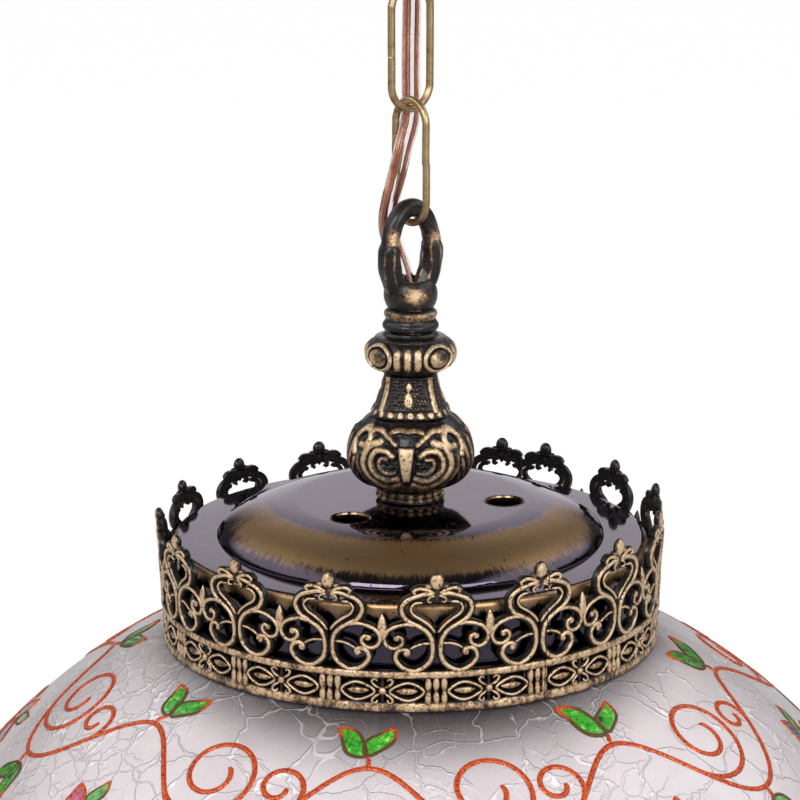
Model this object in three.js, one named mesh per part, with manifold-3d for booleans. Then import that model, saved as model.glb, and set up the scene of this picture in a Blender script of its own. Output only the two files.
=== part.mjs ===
// Pendant lamp: a hand painted glass globe under a spun cap with a pierced cast gallery.
// It hangs by two chain links from a hook under a ceiling canopy, and its flat twin cord
// runs down beside the links into the cast stem.
// Millimetres, +Z up. The origin is the middle of the ceiling plate's top face.

import * as THREE from 'three';
import { mergeVertices } from 'three/addons/utils/BufferGeometryUtils.js';
import Module from 'manifold-3d';

const wasm = await Module();
wasm.setup();

// Driving dimensions in millimetres and degrees
const gap = 0.3;                  // left between pieces that touch
const tubeRadius = 5;             // threaded tube and nipple
const tubeBore = 3.9;
const threadGap = 0.3;            // between the tube and the bores it passes
const washerRadius = 10;
const washerHeight = 1.2;
const nutRadius = 8.6;            // across the corners, halved
const nutHeight = 5;

const plateLength = 76;
const plateWidth = 22;
const plateThickness = 2.5;
const plateScrewSpacing = 62;
const bossRadius = 8;
const bossDepth = 10;

const canopyRimRadius = 45;
const canopyFlatRadius = 21;
const canopyHeight = 36.5;
const canopyWall = 1;
const grommetRadius = 4.8;

const hubRadius = 8;
const hubHeight = 5.2;
const hookWireRadius = 1.25;
const hookLoopRadius = 5.5;
const hookDrop = 11.7;            // from under the hub to the middle of the hook's lowest wire

const linkWireRadius = 0.95;
const linkLength = 32.4;
const linkHalfWidth = 6;          // from the middle of the link to the middle of a leg
const linkSeamGap = 0.45;
const chainTurn = 38.7;           // of the upper link's plane, from +X towards +Y

const ringWireRadius = 2.5;
const ringHalfWidth = 6.8;
const ringRise = 14.25;           // from the socket's flat top to the wire of the link it hangs on
const socketRadius = 6.7;
const socketHeight = 7;
const cordHoleRadius = 4.4;

const collarRadius = 7;
const collarHeight = 5.6;
const capitalRadius = 11.7;
const capitalHeight = 10.5;
const waistTop = 7.3;
const waistFoot = 11;
const waistHeight = 10.1;
const knopRadius = 16.2;
const knopHeight = 19;
const footRadius = 8.6;
const footHeight = 2.6;

const capRimRadius = 60.3;        // outside of the skirt
const capRimHeight = 25.8;        // the flat rim, over the gallery's foot
const capRimWidth = 11.1;         // flat rim, from the dome to the skirt
const capDomeHeight = 8.9;
const capFlatRadius = 29;
const capEdgeRadius = 1.7;        // rolled edge between rim and skirt
const capWall = 0.9;
const ventRadius = 4.8;
const ventCircleRadius = 24;
const ventTurn = -38.2;

const galleryStandoff = 3;        // from the skirt to the outside of the lip, on the glass
const galleryThickness = 1.6;
const galleryHeight = 34.3;
const galleryLean = 1.3;          // how far the peaks stand out past the lip
const galleryRise = 1.5;          // how much taller the hand bent strip stands on its right
const motifPitch = 23.2;          // degrees from peak to peak
const firstMotif = -87.2;         // azimuth of the peak at the left, 0 at the front

const globeRadius = 150;
const glassWall = 3.2;
const glassLedge = 12.3;          // how far the glass reaches in under the cap
const gasketWidth = 3;
const gasketHeight = 1.35;

const barWidth = 14;
const barThickness = 2;
const padRadius = 4.5;
const padThickness = 1.6;
const padDrop = 0.55;             // from the glass to a pad's middle: the glass curves in at its edges

const holderRadius = 19.5;
const holderCapHeight = 19;
const holderBodyHeight = 32;
const holderBore = 15;
const holderStep = 2.2;           // how much slimmer the holder's lower half is
const holderStepDrop = 12;
const holderRingHeight = 7;
const holderRingWidth = 3.2;      // how far the ring stands out past the holder
const bulbRadius = 30;
const bulbLength = 112;
const screwRadius = 13.1;

const cordWidth = 5.2;
const cordThickness = 2.6;

// Facets round a turned piece
const seatFacets = 32;            // cap, gasket and glass share these, so that they nest
const fineFacets = 16;
const smallFacets = 12;

// Sizes that follow from those above
const boreRadius = tubeRadius + threadGap;
const capDomeRadius = capRimRadius - capRimWidth;
const galleryRadius = capRimRadius + galleryStandoff;
const glassHoleRadius = capRimRadius - glassLedge;
const globeCentre = -Math.sqrt(globeRadius ** 2 - galleryRadius ** 2);
const glassHeight = r => globeCentre + Math.sqrt(globeRadius ** 2 - r ** 2);
const glassInside = r => globeCentre + Math.sqrt((globeRadius - glassWall) ** 2 - r ** 2);
const capTop = capRimHeight + capDomeHeight;
const footLevel = capTop + gap;
const knopLevel = footLevel + footHeight + gap;
const waistLevel = knopLevel + knopHeight + gap;
const capitalLevel = waistLevel + waistHeight + gap;
const collarLevel = capitalLevel + capitalHeight + gap;
const socketLevel = collarLevel + collarHeight + gap;
const socketTop = socketLevel + socketHeight;
const hangerPivot = socketTop + ringRise;
const ringTop = hangerPivot + linkWireRadius + gap + ringWireRadius;
const linkPitch = linkLength - 2 * linkWireRadius;
const hubLevel = -(canopyHeight + gap + hubHeight);
const hookPivot = hubLevel - hookDrop;
const upperLinkTop = hookPivot + hookWireRadius + gap + linkWireRadius;
const lowerLinkTop = upperLinkTop - linkPitch + 2 * linkWireRadius + gap;
const lampPivot = lowerLinkTop - linkPitch;
const lampLevel = lampPivot - hangerPivot;   // the gallery's foot, below the ceiling

const degrees = Math.PI / 180;
const alongLink = new THREE.Vector3(Math.cos(chainTurn * degrees), Math.sin(chainTurn * degrees), 0);

// Finishes
const finishes = {
  antique: { color: 0x2b2119, roughness: 0.42, metalness: 0.9 },
  brass: { color: 0x96784a, roughness: 0.35, metalness: 1 },
  lacquer: { color: 0x241d1a, roughness: 0.14, metalness: 0.85 },
  zinc: { color: 0xa9acb0, roughness: 0.4, metalness: 1 },
  glass: { color: 0xd7cfd4, roughness: 0.3, metalness: 0 },
  rubber: { color: 0x1c1c1e, roughness: 0.8, metalness: 0 },
  bakelite: { color: 0x17171a, roughness: 0.35, metalness: 0 },
  porcelain: { color: 0xece8e0, roughness: 0.25, metalness: 0 },
  opal: { color: 0xf3f1ec, roughness: 0.4, metalness: 0 },
  cable: { color: 0xb9755f, roughness: 0.2, metalness: 0.3 },
};
const material = name => new THREE.MeshStandardMaterial(finishes[name]);

// Solids
// Leaves only the positions, merges the corners that meet and turns the faces outwards.
function closed(geometry) {
  const bare = new THREE.BufferGeometry();
  bare.setAttribute('position', geometry.getAttribute('position').clone());
  if (geometry.index) bare.setIndex(geometry.index.clone());
  const merged = mergeVertices(bare, 1e-4);
  const place = merged.getAttribute('position');
  const corners = merged.index.array;
  const kept = [];
  let volume = 0;
  const [a, b, c] = [new THREE.Vector3(), new THREE.Vector3(), new THREE.Vector3()];
  for (let i = 0; i < corners.length; i += 3) {
    const [p, q, r] = [corners[i], corners[i + 1], corners[i + 2]];
    if (p === q || q === r || r === p) continue;
    kept.push(p, q, r);
    volume += a.fromBufferAttribute(place, p)
      .dot(b.fromBufferAttribute(place, q).cross(c.fromBufferAttribute(place, r)));
  }
  if (volume < 0) kept.reverse();
  merged.setIndex(kept);
  return merged;
}

function solid(geometry) {
  const shell = closed(geometry);
  return new wasm.Manifold(new wasm.Mesh({
    numProp: 3,
    vertProperties: new Float32Array(shell.getAttribute('position').array),
    triVerts: new Uint32Array(shell.index.array),
  }));
}

function geometryOf(body) {
  const mesh = body.getMesh();
  const geometry = new THREE.BufferGeometry();
  geometry.setAttribute('position', new THREE.BufferAttribute(new Float32Array(mesh.vertProperties), 3));
  geometry.setIndex(new THREE.BufferAttribute(new Uint32Array(mesh.triVerts), 1));
  return geometry;
}

const joined = bodies => bodies.reduce((whole, body) => whole.add(body));

// Turns a profile of [radius, height] pairs about Z. Angle 0 is at the front, on -Y.
function turned(profile, segments = fineFacets) {
  const points = profile.map(([r, z]) => new THREE.Vector2(r, z));
  const onAxis = points[0].x === 0 && points.at(-1).x === 0;
  if (!onAxis) points.push(points[0].clone());
  return new THREE.LatheGeometry(points, segments).rotateX(Math.PI / 2);
}

// A bored ring or sleeve with the outer profile given from bottom to top.
const bored = (outer, bore, segments) =>
  turned([...outer, [bore, outer.at(-1)[1]], [bore, outer[0][1]]], segments);

// Moves each point of a turned piece in or out along its own radius.
function modelled(geometry, radiusAt) {
  const place = geometry.getAttribute('position');
  for (let i = 0; i < place.count; i += 1) {
    const [x, y, z] = [place.getX(i), place.getY(i), place.getZ(i)];
    const r = Math.hypot(x, y);
    if (r < 1e-6) continue;
    const scale = radiusAt(r, Math.atan2(x, -y), z) / r;
    place.setXY(i, x * scale, y * scale);
  }
  return geometry;
}

function box(width, depth, height, x = 0, y = 0, z = 0) {
  return new THREE.BoxGeometry(width, depth, height).translate(x, y, z);
}

function cylinder(radius, bottom, top, segments = smallFacets, x = 0, y = 0) {
  return new THREE.CylinderGeometry(radius, radius, top - bottom, segments)
    .rotateX(Math.PI / 2).translate(x, y, (top + bottom) / 2);
}

// A smooth curve whose section keeps one side towards the same direction all the way.
class FacingCurve extends THREE.CatmullRomCurve3 {
  constructor(points, facing) {
    super(points, false, 'centripetal');
    this.facing = facing;
  }

  computeFrenetFrames(segments) {
    const frames = { tangents: [], normals: [], binormals: [] };
    for (let i = 0; i <= segments; i += 1) {
      const tangent = this.getTangentAt(i / segments);
      const normal = this.facing.clone().addScaledVector(tangent, -this.facing.dot(tangent)).normalize();
      frames.tangents.push(tangent);
      frames.normals.push(normal);
      frames.binormals.push(tangent.clone().cross(normal));
    }
    return frames;
  }
}

// A section of the given half sizes: across faces the direction, along lies in the sweep's plane.
function ovalSection(across, along, sides = 8) {
  const section = new THREE.Shape();
  for (let i = 0; i < sides; i += 1) {
    const angle = ((i + 0.5) / sides) * 2 * Math.PI;
    const [x, y] = [Math.cos(angle) * across, Math.sin(angle) * along];
    if (i === 0) section.moveTo(x, y);
    else section.lineTo(x, y);
  }
  section.closePath();
  return section;
}

function swept(section, points, facing, steps) {
  return new THREE.ExtrudeGeometry(section, {
    steps,
    curveSegments: 1,
    bevelEnabled: false,
    extrudePath: new FacingCurve(points, facing),
  });
}

function node(name, finish, geometry) {
  const mesh = new THREE.Mesh(closed(geometry), material(finish));
  mesh.name = name;
  return mesh;
}

// Ceiling plate with a blind boss for the nipple, so that its top face stays whole
function ceilingPlate() {
  const strap = box(plateWidth, plateLength, plateThickness, 0, 0, -plateThickness / 2);
  const boss = cylinder(bossRadius, -plateThickness - bossDepth, -plateThickness / 2);
  const socket = cylinder(boreRadius, -plateThickness - bossDepth - 1, -plateThickness - gap);
  const screwHoles = [-1, 1].map(side =>
    cylinder(2.6, -plateThickness - 1, 1, 10, 0, (side * plateScrewSpacing) / 2));
  let plate = solid(strap).add(solid(boss)).subtract(solid(socket));
  for (const hole of screwHoles) plate = plate.subtract(solid(hole));
  return node('ceiling_plate', 'zinc', geometryOf(plate));
}

// Pan head screw up through the plate, its head against the plate's underside
function plateScrew(name, side) {
  const under = -plateThickness - gap;
  const screw = turned([
    [0, under - 2.4], [2.6, under - 2], [4.3, under - 0.7], [4.3, under], [2.2, under],
    [2.2, -gap], [0, -gap],
  ], 10);
  screw.translate(0, (side * plateScrewSpacing) / 2, 0);
  return node(name, 'zinc', screw);
}

const nippleBottom = -(canopyHeight + gap + hubHeight * 0.75);
const nippleTop = -plateThickness - 2 * gap;

function canopyNipple() {
  const sleeve = bored([[tubeRadius, nippleBottom], [tubeRadius, nippleTop]], tubeBore, smallFacets);
  return node('canopy_nipple', 'zinc', sleeve);
}

// The flat twin cord's route, chosen by eye beside the links, in the ceiling's frame
const cordTop = [
  [0.5, 14, -17.2], [0.5, 14, -26], [0.5, 14, -36.5], [0.46, 13, -44], [0.3, 11.2, -53],
  [0.15, 9.7, -61], [0.08, 9, -64.4],
];
const cordMiddle = [
  [0.07, 8.94, -64.7], [0, 7.5, -73], [0.05, 6.6, -79], [0.1, 5.9, -82.5], [-0.35, 4.2, -86],
  [-1.2, 2.7, -89.2], [-2.1, 1.75, -92.6], [-2.9, 1.35, -96.2],
];
const cordLower = [
  [-2.95, 1.33, -96.5], [-4.1, 0.8, -101], [-5.1, 0.55, -105], [-5.7, 1.05, -109], [-5.4, 1.95, -113],
  [-4.1, 2.6, -117], [-2.6, 2.1, -121], [-1.3, 1, -125.5], [-0.7, 0.4, -129],
];

function cord(name, points, steps) {
  const section = ovalSection(cordWidth / 2, cordThickness / 2, 8);
  const route = points.map(([x, y, z]) => new THREE.Vector3(x, y, z));
  return node(name, 'cable', swept(section, route, alongLink, steps));
}

const cordExit = new THREE.Vector3(0.5, 14, -canopyHeight);

// Spun canopy: a dish with a flat bottom, open to the ceiling
function canopyCover() {
  const bottom = -canopyHeight;
  const curve = [];
  const steps = 3;
  for (let i = 0; i <= steps; i += 1) {
    const angle = (i / steps) * (Math.PI / 2);
    curve.push([
      canopyFlatRadius + (canopyRimRadius - canopyFlatRadius) * Math.sin(angle),
      bottom + (canopyHeight - gap) * (1 - Math.cos(angle)),
    ]);
  }
  const inner = curve.map(([r, z], i) => {
    const angle = (i / steps) * (Math.PI / 2);
    return [r - canopyWall * Math.sin(angle), z + canopyWall * Math.cos(angle)];
  });
  inner[steps][1] = curve[steps][1];
  const shell = turned([
    [boreRadius, bottom], ...curve, ...inner.reverse(), [boreRadius, bottom + canopyWall],
  ], 20);
  const cordHole = cylinder(
    grommetRadius - 0.5, bottom - 1, bottom + canopyWall + 1, 12, cordExit.x, cordExit.y,
  );
  return node('canopy_cover', 'antique', geometryOf(solid(shell).subtract(solid(cordHole))));
}

// Rubber grommet: its groove holds the edge of the canopy's hole
function cordGrommet() {
  const low = -canopyHeight - gap;
  const high = -canopyHeight + canopyWall + gap;
  const neck = grommetRadius - 0.5 - gap;
  const bore = cordWidth / 2 + gap;
  const ring = turned([
    [bore, low - 1.2], [grommetRadius + 0.4, low - 1], [grommetRadius + 0.8, low], [neck, low],
    [neck, high], [grommetRadius + 0.8, high], [grommetRadius + 0.4, high + 1], [bore, high + 1.2],
  ], 12);
  return node('cord_grommet', 'rubber', ring.translate(cordExit.x, cordExit.y, 0));
}

function terminalBlock() {
  const top = -plateThickness - gap;
  const height = 13.8;
  const block = solid(box(17, 12, height, cordExit.x, cordExit.y + 5, top - height / 2));
  const wells = [-4.2, 4.2].map(x =>
    cylinder(2.2, top - height - 1, top - 8, 8, cordExit.x + x, cordExit.y + 8.6));
  return node('terminal_block', 'porcelain',
    geometryOf(wells.reduce((whole, well) => whole.subtract(solid(well)), block)));
}

// Open hook on a round hub. The hub is screwed up the nipple and carries the canopy.
function canopyHook() {
  const hubTop = -canopyHeight - gap;
  const hub = turned([
    [0, hubLevel], [hubRadius * 0.6, hubLevel], [hubRadius, hubLevel + 2.2], [hubRadius, hubTop], [0, hubTop],
  ]);
  const socket = cylinder(boreRadius, nippleBottom - gap, hubTop + 1);
  const middle = hookPivot + hookLoopRadius;
  const route = [new THREE.Vector3(0, 0, hubLevel + 0.9), new THREE.Vector3(0.9, 0, hubLevel - 0.6)];
  for (let angle = 50; angle >= -215; angle -= 26.5) {
    route.push(new THREE.Vector3(
      hookLoopRadius * Math.cos(angle * degrees), 0, middle + hookLoopRadius * Math.sin(angle * degrees),
    ));
  }
  const wire = swept(ovalSection(hookWireRadius, hookWireRadius, 6), route, new THREE.Vector3(0, 1, 0), 13);
  const hook = geometryOf(solid(hub).subtract(solid(socket)).add(solid(wire)));
  return node('canopy_hook', 'brass', hook.rotateZ((chainTurn - 90) * degrees));
}

// A link of bent wire with a butt seam in one leg, in the X-Z plane, its top wire at height 0
function chainLink(name, seamSide, seamLevel) {
  const upper = -linkHalfWidth;
  const lower = -linkPitch + linkHalfWidth;
  const leg = seamSide * linkHalfWidth;
  const route = [];
  const put = (x, z) => route.push(new THREE.Vector3(x, 0, z));
  const bend = (middle, from, to) => {
    const steps = 8;
    for (let i = 0; i <= steps; i += 1) {
      const angle = (from + ((to - from) * i) / steps) * degrees;
      put(seamSide * linkHalfWidth * Math.cos(angle), middle + linkHalfWidth * Math.sin(angle));
    }
  };
  put(leg, seamLevel - linkSeamGap / 2);
  put(leg, (seamLevel + lower) / 2);
  bend(lower, 0, -180);
  put(-leg, lower + (upper - lower) * 0.5);
  bend(upper, 180, 0);
  put(leg, (seamLevel + upper) / 2);
  put(leg, seamLevel + linkSeamGap / 2);
  const section = ovalSection(linkWireRadius, linkWireRadius, 6);
  const wire = swept(section, route, new THREE.Vector3(0, 1, 0), 24);
  return node(name, 'brass', wire);
}

// Cast hanger: an oval ring grown out of a rounded socket, which is bored for tube and cord
function hangerLoop() {
  const middle = (ringTop + socketLevel + 2.5) / 2;
  const halfHeight = (ringTop - socketLevel - 2.5) / 2;
  const route = [];
  for (let angle = -70; angle <= 250; angle += 20) {
    route.push(new THREE.Vector3(
      ringHalfWidth * Math.cos(angle * degrees), 0, middle + halfHeight * Math.sin(angle * degrees),
    ));
  }
  const ring = swept(ovalSection(ringWireRadius, ringWireRadius, 6), route, new THREE.Vector3(0, 1, 0), 16)
    .rotateZ(chainTurn * degrees);
  const socket = turned([
    [0, socketLevel], [socketRadius * 0.82, socketLevel], [socketRadius, socketLevel + 2.2],
    [socketRadius, socketLevel + 4.6], [socketRadius * 0.9, socketLevel + 6.4],
    [socketRadius * 0.78, socketTop], [0, socketTop],
  ], smallFacets);
  // An acanthus leaf lies on each leg's lower half and ends in a step.
  const leafOn = side => turned([[0, 0], [2.7, 2], [2.95, 8], [2.7, 12.6], [2, 13.4], [0, 13.6]], 6)
    .rotateY(side * 6 * degrees)
    .translate(side * (ringHalfWidth - 1.4), 0, socketLevel + 3).rotateZ(chainTurn * degrees);
  const above = cylinder(cordHoleRadius, socketLevel - 1, socketTop + 1.6);
  const thread = cylinder(boreRadius, socketLevel - 1, socketTop - 2);
  const body = joined([ring, socket, leafOn(-1), leafOn(1)].map(solid))
    .subtract(solid(above)).subtract(solid(thread));
  return node('hanger_loop', 'antique', geometryOf(body));
}

// Plain swelling ring between the hanger and the capital
function neckCollar() {
  const z = collarLevel;
  const outer = [
    [collarRadius - 1.2, z], [collarRadius - 0.2, z + 0.7], [collarRadius, z + 2], [collarRadius, z + 3.4],
    [collarRadius - 0.5, z + 4.6], [collarRadius - 1.4, z + collarHeight],
  ];
  return node('neck_collar', 'antique', bored(outer, boreRadius, fineFacets));
}

// Capital with four ovals at its corners and reeds between them
function voluteCapital() {
  const z = capitalLevel;
  const h = capitalHeight;
  const outer = [
    [capitalRadius * 0.63, z], [capitalRadius * 0.7, z + 0.1 * h], [capitalRadius * 0.93, z + 0.3 * h],
    [capitalRadius, z + 0.52 * h], [capitalRadius * 0.96, z + 0.7 * h], [capitalRadius * 0.78, z + 0.86 * h],
    [capitalRadius * 0.62, z + h],
  ];
  const ring = modelled(bored(outer, boreRadius, fineFacets), (r, angle) => {
    if (r < boreRadius + 1) return r;
    const corner = Math.abs(Math.cos(2 * (angle - Math.PI / 4)));
    return r * (0.93 + 0.07 * corner);
  });
  return node('volute_capital', 'antique', ring);
}

// Four sided waist that spreads towards the knop, with ribs on its corners
function taperedWaist() {
  const z = waistLevel;
  const h = waistHeight;
  const spread = waistFoot - waistTop;
  const outer = [0, 0.2, 0.5, 1].map(t =>
    [waistTop + spread * (1 - t) ** 1.7, z + h * t]);
  const post = modelled(bored(outer, boreRadius, fineFacets), (r, angle) => {
    if (r < boreRadius + 0.5) return r;
    const square = 0.5 + 0.5 * Math.cos(4 * (angle - Math.PI / 4));
    return r * (0.94 + 0.09 * square ** 2);
  });
  return node('tapered_waist', 'antique', post);
}

// Foliate knop: a bulb of upright leaves with four scroll eyes round its shoulder
function foliateKnop() {
  const z = knopLevel;
  const outer = [
    [footRadius, 0], [13.8, 0.16], [knopRadius, 0.4], [15.2, 0.68], [waistFoot + 0.6, 1],
  ].map(([r, t]) => [r, z + knopHeight * t]);
  const bulb = modelled(bored(outer, boreRadius, 24), (r, angle, height) => {
    if (r < boreRadius + 1) return r;
    const t = (height - z) / knopHeight;
    const swell = Math.sin(Math.PI * Math.min(1, Math.max(0, t)));
    return r - 0.6 * swell * (0.5 + 0.5 * Math.cos(12 * angle));
  });
  const eye = azimuth => new THREE.IcosahedronGeometry(3.2, 0)
    .translate(0, -(knopRadius - 3.4), z + knopHeight * 0.8).rotateZ(azimuth * degrees);
  const body = joined([bulb, ...[-50, 40, 130, 220].map(eye)].map(solid));
  return node('foliate_knop', 'antique', geometryOf(body));
}

// Small foot with a beaded edge, seated on the cap
function beadedFoot() {
  const z = footLevel;
  const outer = [
    [footRadius + 0.2, z], [footRadius - 0.5, z + 1.2], [footRadius - 0.3, z + footHeight],
  ];
  return node('beaded_foot', 'antique', bored(outer, boreRadius, fineFacets));
}

const tubeTop = socketTop - 2 - gap;
const barLevel = glassInside(glassHoleRadius) - 9;
const tubeBottom = barLevel - 16;

function threadedTube() {
  const sleeve = bored([[tubeRadius, tubeBottom], [tubeRadius, tubeTop]], tubeBore, smallFacets);
  return node('threaded_tube', 'zinc', sleeve);
}

// Washer or hexagon nut on the tube
function ringOnTube(name, radius, bottom, height, sides = smallFacets) {
  const ring = solid(cylinder(radius, bottom, bottom + height, sides));
  const bore = solid(cylinder(boreRadius, bottom - 1, bottom + height + 1));
  return node(name, 'zinc', geometryOf(ring.subtract(bore)));
}

// Spun cap: flat topped dome, flat rim with a rolled edge, and a skirt down to the gasket
const skirtBottom = glassHeight(capRimRadius) + gasketHeight + 2 * gap;

function capProfile(inset, shoulderSteps) {
  const profile = [];
  for (let i = 0; i <= shoulderSteps; i += 1) {
    const angle = (i / shoulderSteps) * (Math.PI / 2);
    profile.push([
      capFlatRadius + (capDomeRadius - capFlatRadius) * Math.sin(angle) ** 1.3,
      capRimHeight + capDomeHeight * Math.cos(angle) ** 1.3 - inset,
    ]);
  }
  const edge = capEdgeRadius - inset;
  for (const angle of inset ? [60] : [90, 30]) {
    profile.push([
      capRimRadius - capEdgeRadius + edge * Math.cos(angle * degrees),
      capRimHeight - capEdgeRadius + edge * Math.sin(angle * degrees),
    ]);
  }
  profile.push([capRimRadius - inset, skirtBottom]);
  return profile;
}

function capDome() {
  const shell = turned([
    [boreRadius, capTop], ...capProfile(0, 4), ...capProfile(capWall, 2).reverse(),
    [boreRadius, capTop - capWall],
  ], seatFacets);
  let body = solid(shell);
  for (const turn of [0, 120, 240]) {
    const vent = cylinder(ventRadius, capRimHeight, capTop + 2, 12, 0, -ventCircleRadius)
      .rotateZ((ventTurn + turn) * degrees);
    body = body.subtract(solid(vent));
  }
  return node('cap_dome', 'lacquer', geometryOf(body));
}

// Flat ring between the glass and the skirt's edge
function seatGasket() {
  const outer = capRimRadius;
  const inner = capRimRadius - gasketWidth;
  const top = skirtBottom - gap;
  return node('seat_gasket', 'rubber', turned([
    [inner, glassHeight(inner) + gap], [outer, glassHeight(outer) + gap], [outer, top], [inner, top],
  ], seatFacets));
}

// Blown globe with an open neck under the cap
function glassGlobe() {
  const inner = globeRadius - glassWall;
  const start = Math.asin(glassHoleRadius / globeRadius);
  const seat = Math.asin((galleryRadius + 1) / globeRadius);
  const bands = [start, seat];
  const [upperSteps, lowerSteps] = [3, 5];
  for (let i = 1; i <= upperSteps; i += 1) bands.push(seat + ((Math.PI / 2 - seat) * i) / upperSteps);
  for (let i = 1; i <= lowerSteps; i += 1) bands.push((Math.PI / 2) * (1 + i / lowerSteps));
  const outside = bands.map(a => [globeRadius * Math.sin(a), globeCentre + globeRadius * Math.cos(a)]);
  const padEnd = Math.asin((glassHoleRadius + 3 * padRadius) / inner);
  const insideBands = [Math.asin(glassHoleRadius / inner)];
  const insideSteps = 7;
  for (let i = 0; i <= insideSteps; i += 1) insideBands.push(padEnd + ((Math.PI - padEnd) * i) / insideSteps);
  const inside = insideBands.map(a => [inner * Math.sin(a), globeCentre + inner * Math.cos(a)]);
  outside.at(-1)[0] = 0;
  inside.at(-1)[0] = 0;
  const profile = [...outside.reverse(), ...inside];
  const points = profile.map(([r, z]) => new THREE.Vector2(r, z));
  return node('glass_globe', 'glass', new THREE.LatheGeometry(points, seatFacets).rotateX(Math.PI / 2));
}

// Pierced gallery strip, modelled flat and then bent round the cap
// In the flat, X runs along the strip, -Y faces out and Z is up. A peak stands at X = 0.
const stripRadius = galleryRadius - galleryThickness / 2;
const cell = motifPitch * degrees * stripRadius;
// The scrolls are drawn for one cell of the size below and stretched to the strip's own cell.
const drawing = { cell: 25.3, height: 34.3, rail: 9.2 };
const railLevel = (galleryHeight * drawing.rail) / drawing.height;
const railHeight = 1.9;
const lipHeight = 2.9;

// A flat plate of the strip's thickness with the given outline of [u, v] corners
function flatPlate(outline) {
  const shape = new THREE.Shape(outline.map(([u, v]) => new THREE.Vector2(u, v)));
  return solid(new THREE.ExtrudeGeometry(shape, { depth: galleryThickness, bevelEnabled: false, steps: 1 })
    .rotateX(Math.PI / 2).translate(0, galleryThickness / 2, 0));
}

// A ribbon of the strip along a curve, drawn in a little at both of its ends
function ribbon(points, width, mirror) {
  const curve = new THREE.CatmullRomCurve3(points.map(([u, v]) => new THREE.Vector3(mirror * u, v, 0)));
  const last = points.length - 1;
  const [left, right] = [[], []];
  for (let i = 0; i <= last; i += 1) {
    const at = curve.getPoint(i / last);
    const along = curve.getTangent(i / last);
    const half = (width / 2) * (i === 0 || i === last ? 0.75 : 1);
    left.push([at.x - along.y * half, at.y + along.x * half]);
    right.unshift([at.x + along.y * half, at.y - along.x * half]);
  }
  return flatPlate([...left, ...right]);
}

// The S scroll runs from its curl under the crest, over the heart's shoulder, down to where
// the two meet and round the lower circle, and the side scroll curls beside it.
const heartScroll = [
  [-1.6, 25.2], [-1.3, 28], [-5.2, 29.3], [-8.3, 25.6], [-5.6, 21.6], [-0.9, 18.6],
  [-1.5, 12.2], [-5.9, 10], [-9.6, 13.4], [-7.2, 16.2],
];
const sideScroll = [[-5.4, 21.3], [-10.6, 21], [-10.9, 16.6], [-8, 17.6]];

// A pointed oval between two ends, such as a leaf, a petal or a bud
function leaf([u0, v0], [u1, v1], width, shoulder = 0.5) {
  const [du, dv] = [u1 - u0, v1 - v0];
  const half = width / 2 / Math.hypot(du, dv);
  const [mu, mv] = [u0 + du * shoulder, v0 + dv * shoulder];
  return flatPlate([[u0, v0], [mu + dv * half, mv - du * half], [u1, v1], [mu - dv * half, mv + du * half]]);
}

function round(u, v, radius, corners = 5) {
  const outline = [];
  for (let i = 0; i < corners; i += 1) {
    const angle = ((i + 0.5) / corners) * 2 * Math.PI;
    outline.push([u + radius * Math.cos(angle), v + radius * Math.sin(angle)]);
  }
  return flatPlate(outline);
}

// One peak: two mirrored scrolls that make a heart, a crest of leaves and a ball finial
function motif() {
  const pieces = [];
  for (const side of [1, -1]) {
    pieces.push(ribbon(heartScroll, 1.7, side));
    pieces.push(ribbon(sideScroll, 1.6, side));
    pieces.push(leaf([side * 0.3, 27.4], [side * 3.9, 31], 1.9, 0.6));
  }
  const ball = drawing.height - 2.15;
  pieces.push(leaf([0, 26.4], [0, ball + 0.5], 2.6), round(0, ball, 2.2));
  return joined(pieces);
}

// The bud stands where two side scrolls meet, over a four petalled flower in the band.
function bud() {
  const flower = drawing.rail / 2 + 1.1;
  return joined([
    leaf([0, 17.4], [0, 25.9], 2.2, 0.75),
    leaf([0, 1.6], [0, drawing.rail], 2.2),
    flatPlate([[-11, flower], [-4.5, flower - 1.6], [4.5, flower - 1.6], [11, flower], [4.5, flower + 1.6],
      [-4.5, flower + 1.6]]),
  ]);
}

function reededBars() {
  const [low, high] = [1.6, drawing.rail];
  return flatPlate([[-2.3, low], [2.3, low], [2.3, high], [-2.3, high]]);
}

// A straight run whose section stands upright: its x axis faces out and its y axis points up.
// The run swells a little between the steps, as the cast strip's edge does.
class StripRun extends THREE.LineCurve3 {
  computeFrenetFrames(segments) {
    const frames = { tangents: [], normals: [], binormals: [] };
    for (let i = 0; i <= segments; i += 1) {
      const swell = 1 + 0.06 * (i % 2);
      frames.tangents.push(this.getTangentAt(0));
      frames.normals.push(new THREE.Vector3(0, -swell, 0));
      frames.binormals.push(new THREE.Vector3(0, 0, swell));
    }
    return frames;
  }
}

// Lip and rail. The lip reaches in to the skirt, and its foot follows the glass.
function band(from, to) {
  const stepLength = cell / 3;
  const steps = Math.round((to - from) / stepLength);
  const reach = galleryRadius - capRimRadius - gap;
  const outer = galleryThickness / 2;
  const footInside = glassHeight(galleryRadius - reach) - glassHeight(galleryRadius) + gap + 0.12;
  const sections = [
    [[outer, gap], [outer, lipHeight / 2], [outer - 0.5, lipHeight * 0.8], [outer - reach, lipHeight],
      [outer - reach, footInside]],
    [[-outer, railLevel - railHeight / 2], [outer, railLevel - railHeight / 2], [outer * 1.2, railLevel],
      [outer, railLevel + railHeight / 2], [-outer, railLevel + railHeight / 2]],
  ];
  return joined(sections.map(section => solid(new THREE.ExtrudeGeometry(
    new THREE.Shape(section.map(([out, up]) => new THREE.Vector2(out, up))),
    {
      steps,
      bevelEnabled: false,
      extrudePath: new StripRun(new THREE.Vector3(from, 0, 0), new THREE.Vector3(to, 0, 0)),
    },
  ))));
}

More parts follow.
